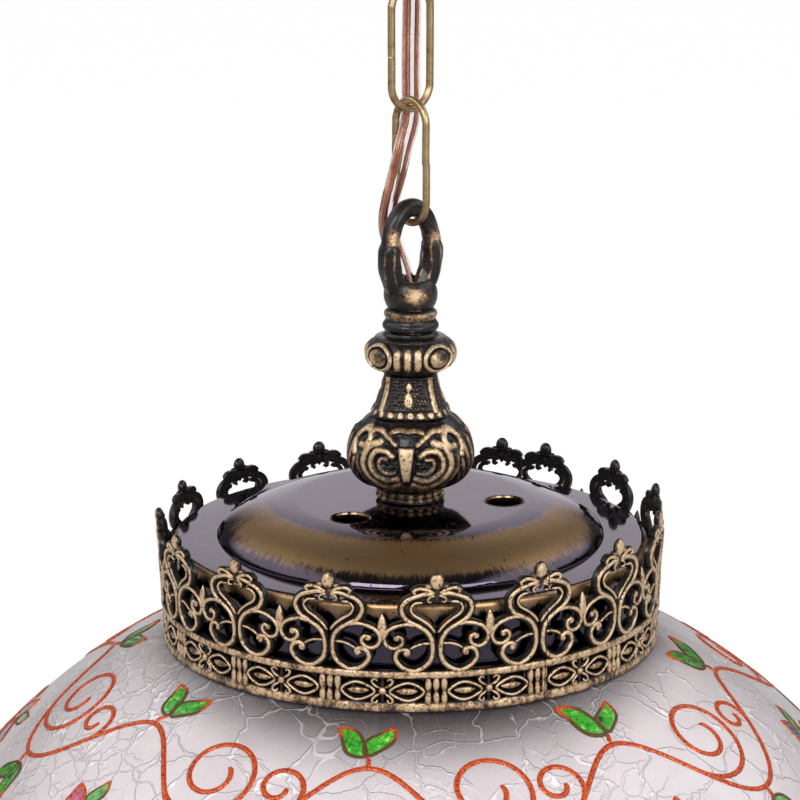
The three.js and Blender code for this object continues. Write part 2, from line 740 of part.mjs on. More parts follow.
// Bends a flat strip round the cap. It leans out towards its peaks.
function bent(geometry) {
  const place = geometry.getAttribute('position');
  for (let i = 0; i < place.count; i += 1) {
    const [u, depth, v] = [place.getX(i), place.getY(i), place.getZ(i)];
    const azimuth = u / stripRadius;
    const share = Math.max(0, v - railLevel) / (galleryHeight - railLevel);
    const radius = stripRadius - depth + galleryLean * share;
    place.setXYZ(i, radius * Math.sin(azimuth), -radius * Math.cos(azimuth),
      v + galleryRise * share * Math.sin(azimuth));
  }
  return geometry;
}

// A strip cut from the pattern between two azimuths. Off-cuts of a snipped scroll fall away.
function galleryStrip(name, from, to, peaks) {
  const [start, end] = [from * degrees * stripRadius + gap / 2, to * degrees * stripRadius - gap / 2];
  const placed = (body, u) =>
    body.scale([cell / drawing.cell, 1, galleryHeight / drawing.height]).translate([u, 0, 0]);
  const flat = [band(start - cell, end + cell)];
  for (const azimuth of peaks) {
    const u = azimuth * degrees * stripRadius;
    flat.push(placed(motif(), u), placed(reededBars(), u), placed(bud(), u + cell / 2));
  }
  flat.push(placed(bud(), peaks[0] * degrees * stripRadius - cell / 2));
  const window = solid(box(end - start, 20, 100, (start + end) / 2, 0, 20));
  const pieces = joined(flat).intersect(window).decompose();
  pieces.sort((a, b) => b.volume() - a.volume());
  return node(name, 'antique', bent(geometryOf(pieces[0])));
}

// Sprung bar that carries the glass from inside, shaped to the slope under its rim
function clampBar() {
  const hole = glassHoleRadius;
  const padAt = hole + padRadius + 0.5;
  const slope = padAt / Math.hypot(padAt, glassInside(padAt) - globeCentre);
  const lift = glassInside(padAt) - padDrop - padThickness - gap;
  const under = x => lift - (x - padAt) * slope / Math.sqrt(1 - slope ** 2);
  const tip = padAt + padRadius + 0.6;
  const bend = hole - 2;
  const half = [
    [0, barLevel], [hole * 0.6, barLevel], [bend, under(bend) - 0.4], [bend + 1.5, under(bend + 1.5)],
    [tip, under(tip)],
  ];
  const outline = new THREE.Shape();
  const top = [...half.map(([x, z]) => [-x, z]).reverse().slice(0, -1), ...half];
  const bottom = top.map(([x, z]) => [x, z - barThickness]).reverse();
  [...top, ...bottom].forEach(([x, z], i) => (i === 0 ? outline.moveTo(x, z) : outline.lineTo(x, z)));
  outline.closePath();
  const strap = new THREE.ExtrudeGeometry(outline, { depth: barWidth, bevelEnabled: false, steps: 1 })
    .rotateX(Math.PI / 2).translate(0, barWidth / 2, 0);
  const hub = cylinder(boreRadius, barLevel - barThickness - 1, barLevel + 1);
  return node('clamp_bar', 'zinc', geometryOf(solid(strap).subtract(solid(hub))));
}

function clampPad(name, side) {
  const padAt = glassHoleRadius + padRadius + 0.5;
  const tilt = Math.asin(padAt / (globeRadius - glassWall));
  const middle = glassInside(padAt) - padDrop - padThickness / 2;
  const pad = new THREE.CylinderGeometry(padRadius, padRadius, padThickness, 12).rotateX(Math.PI / 2)
    .rotateY(side * tilt).translate(side * padAt, 0, middle);
  return node(name, 'rubber', pad);
}

const holderTop = barLevel - barThickness - gap - nutHeight - gap;
const holderCapBottom = holderTop - holderCapHeight;
const holderBodyTop = holderCapBottom - gap;
const holderBodyBottom = holderBodyTop - holderBodyHeight;

function holderCap() {
  const wall = 2.2;
  const outer = [
    [holderRadius, holderCapBottom], [holderRadius, holderCapBottom + 7],
    [holderRadius * 0.86, holderCapBottom + 12],
    [9.4, holderTop - 3], [8.6, holderTop],
  ];
  const inner = [
    [boreRadius, holderTop], [boreRadius, holderTop - 5], [8, holderTop - 5.6],
    [holderRadius - wall - 1.5, holderCapBottom + 9],
    [holderRadius - wall, holderCapBottom],
  ];
  return node('holder_cap', 'bakelite', turned([...outer, ...inner], fineFacets));
}

function holderBody() {
  const outer = [
    [holderBore, holderBodyBottom], [holderRadius - holderStep, holderBodyBottom],
    [holderRadius - holderStep, holderBodyTop - holderStepDrop],
    [holderRadius, holderBodyTop - holderStepDrop + 2], [holderRadius, holderBodyTop],
  ];
  return node('holder_body', 'bakelite', turned([...outer, [holderBore, holderBodyTop]]));
}

// Knurled ring screwed on the holder's lower half
function holderRing() {
  const inner = holderRadius - holderStep + gap;
  const outside = holderRadius + holderRingWidth;
  const top = holderBodyTop - holderStepDrop - 2 * gap;
  const outer = [
    [outside - 0.6, top - holderRingHeight], [outside, top - holderRingHeight + 1],
    [outside, top - 1.6], [outside - 2.2, top],
  ];
  return node('holder_ring', 'bakelite', bored(outer, inner, fineFacets));
}

// Porcelain insert that fills the top of the body and carries the contacts
const insertBottom = holderBodyTop - 7;

function contactInsert() {
  return node('contact_insert', 'porcelain', cylinder(holderBore - gap, insertBottom, holderBodyTop - gap));
}

function screwShell() {
  const inner = screwRadius + 0.7;
  const top = insertBottom - gap;
  const outer = inner + 0.6;
  const sleeve = bored([[outer, holderBodyBottom + 1.5], [outer, top]], inner, fineFacets);
  return node('screw_shell', 'brass', sleeve);
}

function centreContact() {
  const top = insertBottom - gap;
  return node('centre_contact', 'brass', turned([[0, top - 1], [3, top - 1], [3.6, top], [0, top]], 12));
}

// Frosted lamp bulb with a screw base
const bulbContactTop = insertBottom - gap - 1 - gap;

function bulbContact() {
  const z = bulbContactTop;
  const button = turned([[0, z - 1.6], [4.4, z - 1.6], [4.4, z - 0.6], [2.4, z], [0, z]], 12);
  return node('bulb_contact', 'brass', button);
}

function bulbInsulator() {
  const z = bulbContactTop - 1.6 - gap;
  return node('bulb_insulator', 'bakelite', turned([[0, z - 2.2], [9.6, z - 2.2], [5, z], [0, z]], 16));
}

function bulbBase() {
  const top = bulbContactTop - 3.8 - 2 * gap;
  const turns = 4;
  const pitch = 4.5;
  const outer = [];
  for (let i = 0; i <= turns; i += 1) {
    outer.push([screwRadius, top - 2 - pitch * i]);
    if (i < turns) outer.push([screwRadius - 0.9, top - 2 - pitch * (i + 0.5)]);
  }
  const bottom = top - 2 - pitch * turns - 1.6;
  const profile = [[0, bottom], [screwRadius, bottom], ...outer.reverse(), [9.6, top], [0, top]];
  return node('bulb_base', 'zinc', turned(profile, smallFacets));
}

function bulbGlass() {
  const top = bulbContactTop - 3.8 - 2 * gap - 2 - 4.5 * 4 - 1.6 - gap;
  const bottom = bulbContactTop - bulbLength;
  const middle = bottom + bulbRadius;
  const profile = [[0, bottom]];
  for (let angle = -66; angle <= 36; angle += 25.5) {
    profile.push([bulbRadius * Math.cos(angle * degrees), middle + bulbRadius * Math.sin(angle * degrees)]);
  }
  profile.push([bulbRadius * 0.62, top - 14], [screwRadius + 0.9, top - 4], [screwRadius + 0.4, top], [0, top]);
  return node('bulb_glass', 'opal', turned(profile));
}

// The stretch of cord that runs inside the stem, from the socket's mouth to the insert
function stemCord() {
  return cord('cord_in_stem', [
    [-0.6, 0.3, socketTop - 5.2], [-0.35, 0.1, socketTop - 14], [0, 0, socketTop - 26], [0, 0, capTop - 15],
    [0, 0, holderBodyTop + 2],
  ], 6);
}

// Assembly
const upperLink = new THREE.Group();
upperLink.position.z = upperLinkTop;
upperLink.rotation.z = chainTurn * degrees;
upperLink.add(chainLink('chain_link_upper', -1, -linkPitch / 2 - 2));

const lowerLink = new THREE.Group();
lowerLink.position.z = lowerLinkTop;
lowerLink.rotation.z = (chainTurn - 90) * degrees;
lowerLink.add(chainLink('chain_link_lower', 1, -linkPitch / 2));

const seam = firstMotif + 5 * motifPitch + 1.7;
const lap = firstMotif + 10.27 * motifPitch;
const peaksFrom = (first, count) =>
  Array.from({ length: count }, (_, k) => firstMotif + (first + k) * motifPitch);
const leftEnd = firstMotif - motifPitch / 2;

const lamp = new THREE.Group();
lamp.position.z = lampLevel;
lamp.add(
  hangerLoop(),
  neckCollar(),
  voluteCapital(),
  taperedWaist(),
  foliateKnop(),
  beadedFoot(),
  threadedTube(),
  ringOnTube('cap_washer', washerRadius, capTop - capWall - gap - washerHeight, washerHeight),
  ringOnTube('cap_nut', nutRadius, capTop - capWall - 2 * gap - washerHeight - nutHeight, nutHeight, 6),
  capDome(),
  seatGasket(),
  galleryStrip('gallery_strip_front', leftEnd, seam, peaksFrom(0, 6)),
  galleryStrip('gallery_strip_right', seam, lap, peaksFrom(5, 6)),
  galleryStrip('gallery_strip_back', lap - 360, leftEnd, peaksFrom(-5, 5)),
  glassGlobe(),
  clampBar(),
  clampPad('clamp_pad_left', -1),
  clampPad('clamp_pad_right', 1),
  ringOnTube('bar_washer', washerRadius - 1, barLevel + gap, washerHeight),
  ringOnTube('bar_nut', nutRadius, barLevel - barThickness - gap - nutHeight, nutHeight, 6),
  holderCap(),
  holderBody(),
  holderRing(),
  contactInsert(),
  screwShell(),
  centreContact(),
  bulbContact(),
  bulbInsulator(),
  bulbBase(),
  bulbGlass(),
  stemCord(),
);

const pendant = new THREE.Group();
pendant.add(
  ceilingPlate(),
  plateScrew('plate_screw_front', -1),
  plateScrew('plate_screw_back', 1),
  canopyNipple(),
  canopyCover(),
  cordGrommet(),
  terminalBlock(),
  canopyHook(),
  upperLink,
  lowerLink,
  cord('cord_upper', cordTop, 8),
  cord('cord_middle', cordMiddle, 10),
  cord('cord_lower', cordLower, 12),
  lamp,
);

export default pendant;
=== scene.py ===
# %% [markdown]
# # A pendant lamp with a painted glass globe
# The lamp hangs from a ceiling canopy by a hook and two links of bent wire. A cast stem stands
# on a spun cap, a pierced cast gallery runs round the cap, and a large crackled globe with
# painted scrolls hangs below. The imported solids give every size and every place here, so each
# piece is built straight into the frame that they set.

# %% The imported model
import math
import bmesh
import bpy
import numpy as np
from mathutils import Matrix, Vector


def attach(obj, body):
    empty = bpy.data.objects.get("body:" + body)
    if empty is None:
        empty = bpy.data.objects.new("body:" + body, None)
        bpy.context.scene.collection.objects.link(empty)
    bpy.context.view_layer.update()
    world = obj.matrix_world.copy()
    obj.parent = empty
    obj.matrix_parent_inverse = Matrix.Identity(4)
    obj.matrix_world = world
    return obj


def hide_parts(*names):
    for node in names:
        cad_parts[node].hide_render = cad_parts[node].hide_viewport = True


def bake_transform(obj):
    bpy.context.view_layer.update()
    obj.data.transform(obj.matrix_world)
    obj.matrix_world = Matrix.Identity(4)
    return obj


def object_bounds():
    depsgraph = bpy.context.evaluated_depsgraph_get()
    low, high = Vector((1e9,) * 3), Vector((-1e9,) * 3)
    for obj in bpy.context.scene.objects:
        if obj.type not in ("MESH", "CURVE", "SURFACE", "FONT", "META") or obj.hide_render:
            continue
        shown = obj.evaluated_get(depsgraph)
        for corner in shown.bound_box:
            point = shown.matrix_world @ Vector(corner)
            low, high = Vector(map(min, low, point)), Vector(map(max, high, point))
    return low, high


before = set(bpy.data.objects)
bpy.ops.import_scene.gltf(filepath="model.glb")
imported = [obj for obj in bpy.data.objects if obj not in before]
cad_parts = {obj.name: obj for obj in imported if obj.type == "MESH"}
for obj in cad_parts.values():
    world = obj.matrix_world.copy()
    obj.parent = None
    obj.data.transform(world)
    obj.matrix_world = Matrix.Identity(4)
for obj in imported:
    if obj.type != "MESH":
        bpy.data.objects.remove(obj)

cad_low, cad_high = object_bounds()
MM = 0.001
globe_radius = (cad_high.x - cad_low.x) / 2 / MM
lip_radius = 63.3          # mm, where the gallery's foot stands on the glass
foot = cad_low.z / MM + globe_radius + math.sqrt(globe_radius ** 2 - lip_radius ** 2)
print(f"globe {2 * globe_radius:.0f} mm across, gallery foot {-foot:.1f} mm under the ceiling")

# %% [markdown]
# The photograph was taken a little above the cap, from close by. A long lens at that distance
# and height gives the same crossing of near and far peaks in the gallery.

# %% Camera
view_distance = 704.2      # mm in front of the lamp's axis
view_height = 235.35       # mm above the gallery's foot
pitch_down = 13.973        # degrees
turn_left = 0.2154         # degrees
focal_length = 129.67      # mm, for a picture 36 mm wide
camera = bpy.data.objects.new("camera", bpy.data.cameras.new("camera"))
bpy.context.scene.collection.objects.link(camera)
camera.location = (0, -view_distance * MM, (foot + view_height) * MM)
camera.rotation_euler = (math.radians(90 - pitch_down), 0, math.radians(turn_left))
camera.data.sensor_width = 36
camera.data.lens = focal_length
bpy.context.scene.camera = camera
print("camera", [round(v / MM) for v in camera.location], "mm")

# %% [markdown]
# Light and materials are wired from the same few nodes, so a small class keeps the wiring
# short, and a second one adds what only a material has. Patterns read Object coordinates,
# which are metres here, so a noise scale of 1000 has features of about a millimetre.

# %% Wiring
class Wiring:
    """Short ways to add nodes to a tree."""

    def __init__(self, tree):
        self.tree = tree

    def node(self, kind, settings=None, **inputs):
        """Adds a node. Inputs go by name, with _ for each space, or by number, as _0 and _1."""
        made = self.tree.nodes.new("ShaderNode" + kind)
        for key, value in (settings or {}).items():
            setattr(made, key, value)
        for key, value in inputs.items():
            self.feed(made.inputs[int(key[1:]) if key[0] == "_" else key.replace("_", " ")], value)
        return made

    def feed(self, socket, value):
        if isinstance(value, bpy.types.NodeSocket):
            self.tree.links.new(value, socket)
        else:
            socket.default_value = value

    def maths(self, operation, a, b, clamp=False):
        settings = {"operation": operation, "use_clamp": clamp}
        return self.node("Math", settings, _0=a, _1=b).outputs[0]

    def sum(self, a, b):
        return self.maths("ADD", a, b)

    def times(self, a, b):
        return self.maths("MULTIPLY", a, b)

    def fit(self, value, low, high, new_low=0.0, new_high=1.0):
        """A smooth step from the new low value to the new high one."""
        return self.node("MapRange", {"interpolation_type": "SMOOTHSTEP"}, Value=value,
                         From_Min=low, From_Max=high, To_Min=new_low,
                         To_Max=new_high).outputs["Result"]

    def ray(self, kind):
        return self.node("LightPath").outputs[f"Is {kind} Ray"]

    def seen_directly(self):
        """1 for rays that show a surface: from the camera, off gloss and through glass."""
        seen = self.sum(self.ray("Camera"), self.ray("Transmission"))
        return self.maths("ADD", seen, self.ray("Glossy"), clamp=True)


class Finish(Wiring):
    """A material with its shader and short ways to add what drives it."""

    def __init__(self, name, **constants):
        self.material = bpy.data.materials.new(name)
        self.material.use_nodes = True
        super().__init__(self.material.node_tree)
        self.shader = self.tree.nodes["Principled BSDF"]
        self.place = self.node("TexCoord").outputs["Object"]
        for socket, value in constants.items():
            self.shader.inputs[socket.replace("_", " ")].default_value = value

    def set(self, socket, value):
        self.feed(self.shader.inputs[socket], value)

    def noise(self, scale, detail=4.0, roughness=0.55, stretch=None, at=None):
        place = self.place if at is None else at
        if stretch:
            place = self.node("Mapping", Vector=place, Scale=stretch).outputs[0]
        return self.node("TexNoise", Vector=place, Scale=scale, Detail=detail,
                         Roughness=roughness).outputs["Fac"]

    def colours(self, value, stops):
        ramp = self.node("ValToRGB", Fac=value)
        marks = ramp.color_ramp.elements
        while len(marks) < len(stops):
            marks.new(0.5)
        for mark, (place, colour) in zip(marks, stops):
            mark.position = place
            mark.color = (*colour, 1)
        return ramp.outputs["Color"]

    def blend(self, share, a, b):
        mix = self.node("Mix", {"data_type": "RGBA"})
        self.feed(mix.inputs["Factor"], share)
        for socket, value in ((mix.inputs[6], a), (mix.inputs[7], b)):
            self.feed(socket, value if isinstance(value, bpy.types.NodeSocket) else (*value, 1))
        return mix.outputs[2]

    def rub(self):
        return self.node("Attribute", {"attribute_name": "rub"}).outputs["Fac"]

    def bump(self, height, depth_mm, strength=1.0):
        bump = self.node("Bump", Height=height, Distance=depth_mm * MM, Strength=strength)
        self.set("Normal", bump.outputs["Normal"])


# %% [markdown]
# The photograph's studio has a white backdrop, a dim ceiling and a soft lamp at each side.
# The eye and the glass see white all round. Gloss sees a white wall straight behind the lamp,
# a bright panel up at each side and a dim room everywhere else, which is what makes the black
# lacquer read as black. The floor is pale and matt, and gloss sees it a little darker than
# the eye does.

# %% Studio
bpy.context.scene.view_settings.view_transform = "Standard"
room_light = 0.62          # what the room gives to everything that stands in it
room_dim = 0.075           # what gloss sees of the room away from the wall and the panels
panel_light = 1.3
floor_white, floor_glow = 0.93, 0.42
floor_drop = 0.6           # metres under the lamp


def studio_world():
    world = bpy.data.worlds.new("studio")
    world.use_nodes = True
    w = Wiring(world.node_tree)
    background = w.tree.nodes["Background"]
    background.inputs["Color"].default_value = (1, 1, 1, 1)
    x, y, z = w.node("SeparateXYZ", _0=w.node("TexCoord").outputs["Generated"]).outputs
    sideways = w.maths("ABSOLUTE", x, 0.0)
    # the wall is narrow, straight behind the lamp, and fades out overhead
    straight = w.maths("SUBTRACT", 1.0, w.fit(sideways, 0.14, 0.36))
    wall = w.times(w.fit(w.sum(y, w.times(z, -0.7)), 0.12, 0.5), straight)
    # the panels are at both sides and well above the floor
    panels = w.times(w.fit(sideways, 0.42, 0.66), w.fit(z, 0.2, 0.45))
    bright = w.maths("MAXIMUM", wall, w.times(panels, panel_light))
    room = w.times(w.ray("Glossy"), w.maths("MAXIMUM", bright, room_dim))
    shown = w.maths("ADD", w.ray("Camera"), w.ray("Transmission"), clamp=True)
    soft = w.times(w.maths("SUBTRACT", 1.0, w.seen_directly()), room_light)
    w.feed(background.inputs["Strength"], w.sum(w.maths("MAXIMUM", shown, room), soft))
    bpy.context.scene.world = world


def soft_lamp(name, place, size, power):
    light = bpy.data.lights.new(name, "AREA")
    light.size = size
    light.energy = power
    lamp = bpy.data.objects.new(name, light)
    lamp.location = place
    aim = Vector((0, 0, foot * MM)) - Vector(place)
    lamp.rotation_euler = aim.to_track_quat("-Z", "Y").to_euler()
    bpy.context.scene.collection.objects.link(lamp)


def pale_floor(height):
    bpy.ops.mesh.primitive_plane_add(size=80, location=(0, 0, height))
    floor = bpy.context.object
    floor.name = "floor"
    f = Finish("floor", Roughness=0.9, Specular_IOR_Level=0.1, Emission_Color=(1, 1, 1, 1))
    glossy = f.maths("SUBTRACT", f.ray("Glossy"), f.ray("Transmission"), clamp=True)
    f.set("Base Color", f.maths("SUBTRACT", floor_white, f.times(glossy, 0.45)))
    glow = f.times(f.seen_directly(), floor_glow)
    f.set("Emission Strength", f.maths("SUBTRACT", glow, f.times(glossy, 0.25)))
    floor.data.materials.append(f.material)


studio_world()
soft_lamp("key", (-0.4, -0.95, 0.6), 0.6, 7.5)      # place and size in metres, power in watts
soft_lamp("fill", (0.6, -0.85, 0.25), 0.6, 4.5)
pale_floor(cad_low.z - floor_drop)

# %% [markdown]
# Most pieces here are either a profile turned about the axis or a section led along a line.
# Both are grids of points, so one small class holds points and faces in millimetres, and each
# point also keeps how far the dark patina is rubbed off it.

# %% Shapes
def unit(value):
    """The value kept between 0 and 1."""
    return np.clip(value, 0, 1)


def full_turn(count):
    return np.arange(count) / count * 2 * math.pi


class Shape:
    """Points in millimetres, faces as point numbers, and how rubbed each point is, 0 to 1."""

    def __init__(self, points, faces, rub=0.0):
        self.points = np.asarray(points, float).reshape(-1, 3)
        self.faces = [list(face) for face in faces]
        self.rub = np.broadcast_to(np.asarray(rub, float).ravel(), (len(self.points),)).copy()

    def __add__(self, other):
        start = len(self.points)
        faces = self.faces + [[i + start for i in face] for face in other.faces]
        return Shape(np.vstack([self.points, other.points]), faces,
                     np.concatenate([self.rub, other.rub]))

    def moved(self, x=0.0, y=0.0, z=0.0):
        return Shape(self.points + np.array([x, y, z]), self.faces, self.rub)

    def turned_by(self, degrees):
        a = math.radians(degrees)
        c, s = math.cos(a), math.sin(a)
        x, y, z = self.points.T
        return Shape(np.column_stack([c * x - s * y, s * x + c * y, z]), self.faces, self.rub)

    def mirrored(self):
        points = self.points * np.array([-1, 1, 1])
        return Shape(points, [face[::-1] for face in self.faces], self.rub)


def together(shapes):
    """Several shapes as one."""
    whole = shapes[0]
    for shape in shapes[1:]:
        whole = whole + shape
    return whole


def grid_shape(points, wrap_rows=False, wrap_columns=False, rub=0.0, capped=False):
    """A net of points in rows and columns. Capped closes the first and last row."""
    rows, columns = points.shape[:2]
    faces = []
    for i in range(rows if wrap_rows else rows - 1):
        below = (i + 1) % rows
        for j in range(columns if wrap_columns else columns - 1):
            beside = (j + 1) % columns
            faces.append([i * columns + j, below * columns + j,
                          below * columns + beside, i * columns + beside])
    if capped:
        faces.append(list(range(columns)))
        faces.append([(rows - 1) * columns + j for j in reversed(range(columns))])
    return Shape(points.reshape(-1, 3), faces, rub)


def distances_along(line):
    return np.concatenate([[0], np.cumsum(np.linalg.norm(np.diff(line, axis=0), axis=1))])


def through(points, count, closed=False):
    """A smooth line through a few points, as count evenly spaced points."""
    p = np.asarray(points, float)
    if closed:
        p = np.vstack([p[-1], p, p[:2]])
    else:
        p = np.vstack([2 * p[0] - p[1], p, 2 * p[-1] - p[-2]])
    fine = []
    for i in range(1, len(p) - 2):
        a, b, c, d = p[i - 1:i + 3]
        t = np.linspace(0, 1, 24, endpoint=False)[:, None]
        fine.append(0.5 * (2 * b + (c - a) * t + (2 * a - 5 * b + 4 * c - d) * t ** 2
                           + (3 * b - a - 3 * c + d) * t ** 3))
    fine.append(p[-2][None])
    fine = np.vstack(fine)
    along = distances_along(fine)
    stops = np.linspace(0, along[-1], count + 1 if closed else count)
    line = np.column_stack([np.interp(stops, along, fine[:, k]) for k in range(fine.shape[1])])
    return line[:-1] if closed else line


def length_of(line):
    return float(np.linalg.norm(np.diff(line, axis=0), axis=1).sum())


def directions(line, facing, closed=False):
    """At each point: along the line, the facing direction square to it, and across both."""
    if closed:
        along = np.roll(line, -1, axis=0) - np.roll(line, 1, axis=0)
    else:
        along = np.gradient(line, axis=0)
    along /= np.linalg.norm(along, axis=1)[:, None]
    face = np.broadcast_to(np.asarray(facing, float), line.shape)
    face = face - (face * along).sum(1)[:, None] * along
    face /= np.linalg.norm(face, axis=1)[:, None]
    return along, face, np.cross(along, face)


def led_along(line, section, facing, closed=False, scale=1.0, rub=0.0):
    """A section of [facing, across] pairs led along a line."""
    _, face, across = directions(line, facing, closed)
    section = np.asarray(section, float)
    scale = np.broadcast_to(np.asarray(scale, float), (len(line),))
    net = (line[:, None] + scale[:, None, None]
           * (section[None, :, :1] * face[:, None] + section[None, :, 1:] * across[:, None]))
    rubbed = np.broadcast_to(np.asarray(rub, float), net.shape[:2])
    return grid_shape(net, wrap_rows=closed, wrap_columns=True, rub=rubbed, capped=not closed)


def oval(facing, across, sides=12):
    angle = full_turn(sides)
    return np.column_stack([facing * np.cos(angle), across * np.sin(angle)])


def turned(profile, sides, relief=None, closed=True, rub=0.0):
    """A profile of [radius, height] turned about Z, angle 0 at the front. Relief adds to the
    radius, by angle and by place along the profile, and also says how rubbed the points are."""
    profile = np.asarray(profile, float)
    angle = full_turn(sides)
    radius = np.repeat(profile[None, :, 0], sides, axis=0)
    height = np.repeat(profile[None, :, 1], sides, axis=0)
    rubbed = np.broadcast_to(np.asarray(rub, float), radius.shape)
    if relief:
        raised, rubbed = relief(angle[:, None], height, radius)
        radius = radius + raised
    net = np.stack([radius * np.sin(angle)[:, None], -radius * np.cos(angle)[:, None], height], -1)
    return grid_shape(net, wrap_rows=True, wrap_columns=closed, rub=rubbed)


def plain_mesh(name, shape, scale=1.0):
    mesh = bpy.data.meshes.new(name)
    mesh.from_pydata((shape.points * scale).tolist(), [], shape.faces)
    rub = mesh.attributes.new("rub", "FLOAT", "POINT")
    rub.data.foreach_set("value", shape.rub.astype(np.float32))
    return mesh


def welded(mesh, distance):
    """Joins the points that meet and turns all faces outward."""
    made = bmesh.new()
    made.from_mesh(mesh)
    bmesh.ops.remove_doubles(made, verts=made.verts, dist=distance)
    bmesh.ops.recalc_face_normals(made, faces=made.faces)
    made.to_mesh(mesh)
    made.free()
    return mesh


def piece(name, shape, body, slot, finish, *nodes, crease=40):
    """Makes the shape an object in the frame that rides on a body and stands for its nodes."""
    mesh = welded(plain_mesh(name, shape, MM), 1e-7)
    mesh.shade_smooth()
    mesh.set_sharp_from_angle(angle=math.radians(crease))
    mesh.materials.append(finish)
    thing = bpy.data.objects.new(name, mesh)
    bpy.context.scene.collection.objects.link(thing)
    if body:
        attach(thing, body)
    if nodes:
        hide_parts(*nodes)
    print(name, len(mesh.polygons), "faces")
    return thing


# %% [markdown]
# The castings are dipped in a near black patina and rubbed back by hand, so gold metal shows
# on the high spots and the hollows stay dark and glossy. The rub value of each point says
# where, and noise breaks its edge into the grain of the wiping cloth.

# %% Cast metal with a rubbed patina
def antique_casting():
    f = Finish("antique_casting", Specular_IOR_Level=0.35, Coat_Weight=0.35, Coat_Roughness=0.12)
    grain = f.noise(900, 6, 0.7)
    cloud = f.noise(170, 3)
    pits = f.fit(f.noise(1500, 2, 0.5), 0.30, 0.42)
    wiped = f.sum(f.sum(f.rub(), f.times(grain, 1.3)), f.times(cloud, 0.7))
    share = f.times(f.fit(wiped, 1.16, 1.96), f.fit(pits, 0, 1, 0.5, 1.0))
    f.set("Base Color", f.colours(share, [
        (0.0, (0.006, 0.004, 0.004)), (0.3, (0.034, 0.019, 0.012)), (0.6, (0.25, 0.145, 0.075)),
        (0.85, (0.58, 0.385, 0.22)), (1.0, (0.82, 0.60, 0.38))]))
    f.set("Metallic", f.fit(share, 0.1, 0.8, 0.0, 0.6))
    f.set("Roughness", f.fit(grain, 0.3, 0.7, 0.24, 0.42))
    f.bump(f.sum(grain, f.times(pits, 0.5)), 0.2, 0.9)
    return f.material


def aged_wire():
    f = Finish("aged_wire", Metallic=1.0)
    blotch = f.noise(420, 5, 0.65)
    f.set("Base Color", f.colours(blotch, [
        (0.26, (0.15, 0.095, 0.045)), (0.42, (0.44, 0.30, 0.15)), (0.7, (0.68, 0.51, 0.29))]))
    f.set("Roughness", f.fit(blotch, 0.3, 0.7, 0.52, 0.34))
    f.bump(f.noise(2600, 4, 0.7), 0.06, 0.7)
    return f.material


antique = antique_casting()
wire = aged_wire()

# %% [markdown]
# The flex is the lamp's only cord: two copper cores side by side in clear soft plastic. It
# comes out of the terminal block in the canopy, goes down beside the links, passes through
# the lower link and the hanger's ring and enters the stem. It is made in three stretches.

# %% Flex routes, in metres
link_turn = 38.7
along_link = np.array([math.cos(math.radians(link_turn)), math.sin(math.radians(link_turn)), 0])
flex_width = 5.2
flex_thickness = 2.6
strand_lay = 20.0          # mm along the flex for one turn of its strands
stretch_overlap = 0.17     # mm that each stretch runs on at its ends, so no joint shows a gap
flex_routes = {
    "cord_upper": [
        (0.0005, 0.014, -0.0172), (0.0005, 0.014, -0.026), (0.0005, 0.014, -0.0365),
        (0.00046, 0.013, -0.044), (0.0003, 0.0112, -0.053), (0.00015, 0.0097, -0.061),
        (0.00008, 0.009, -0.0644)],
    "cord_middle": [
        (0.00007, 0.00894, -0.0647), (0.0, 0.0075, -0.073), (0.00005, 0.0066, -0.079),
        (0.0001, 0.0059, -0.0825), (-0.00035, 0.0042, -0.086), (-0.0012, 0.0027, -0.0892),
        (-0.0021, 0.00175, -0.0926), (-0.0029, 0.00135, -0.0962)],
    "cord_lower": [
        (-0.00295, 0.00133, -0.0965), (-0.0041, 0.0008, -0.101), (-0.0051, 0.00055, -0.105),
        (-0.0057, 0.00105, -0.109), (-0.0054, 0.00195, -0.113), (-0.0041, 0.0026, -0.117),
        (-0.0026, 0.0021, -0.121), (-0.0013, 0.001, -0.1255), (-0.0007, 0.0004, -0.129)],
}


# %% [markdown]
# The sheath is soft clear plastic, a little wavy along its length, and the copper in it has
# gone brown in places. Real refraction shows the strands drawn wide by the round lobes, which
# no painted stripe would do, so the sheath is a closed body with full transmission.

# %% Flex finishes
def clear_plastic():
    f = Finish("clear_plastic", Transmission_Weight=1.0, Roughness=0.05, IOR=1.5,
               Base_Color=(0.90, 0.83, 0.82, 1))
    f.bump(f.noise(160, 2, 0.5, (1, 1, 0.15)), 0.1, 0.35)
    return f.material


def copper_strand():
    f = Finish("copper_strand", Metallic=0.85)
    tarnish = f.noise(300, 3, 0.6, (1, 1, 0.3))
    f.set("Base Color", f.colours(tarnish, [
        (0.3, (0.26, 0.095, 0.06)), (0.55, (0.44, 0.19, 0.125)), (0.8, (0.60, 0.32, 0.23))]))
    f.set("Roughness", f.fit(tarnish, 0.3, 0.7, 0.42, 0.28))
    return f.material


sheath_finish = clear_plastic()
copper = copper_strand()

# %% [markdown]
# In each core six strands are laid round each other, which gives the fine slanting lines of
# the real wire. They could be a pattern on one thick rod, but through the clear sheath their
# edges show. Sheath and strands of a stretch follow the same line, and its length is printed.

# %% Flex stretches
core_offset = (flex_width - flex_thickness) / 2
strand_circle, strand_radius = 0.38, 0.24


def twin_section():
    """Two round lobes that meet in a waist, as [facing, across] pairs."""
    radius = flex_thickness / 2
    angles = np.radians(np.linspace(-125, 125, 13))
    right = np.column_stack([core_offset + radius * np.cos(angles), radius * np.sin(angles)])
    return np.vstack([right, -right])


def note_cord(name, line):
    length_of(line) * MM
    print(name, f"{length_of(line):.1f} mm")


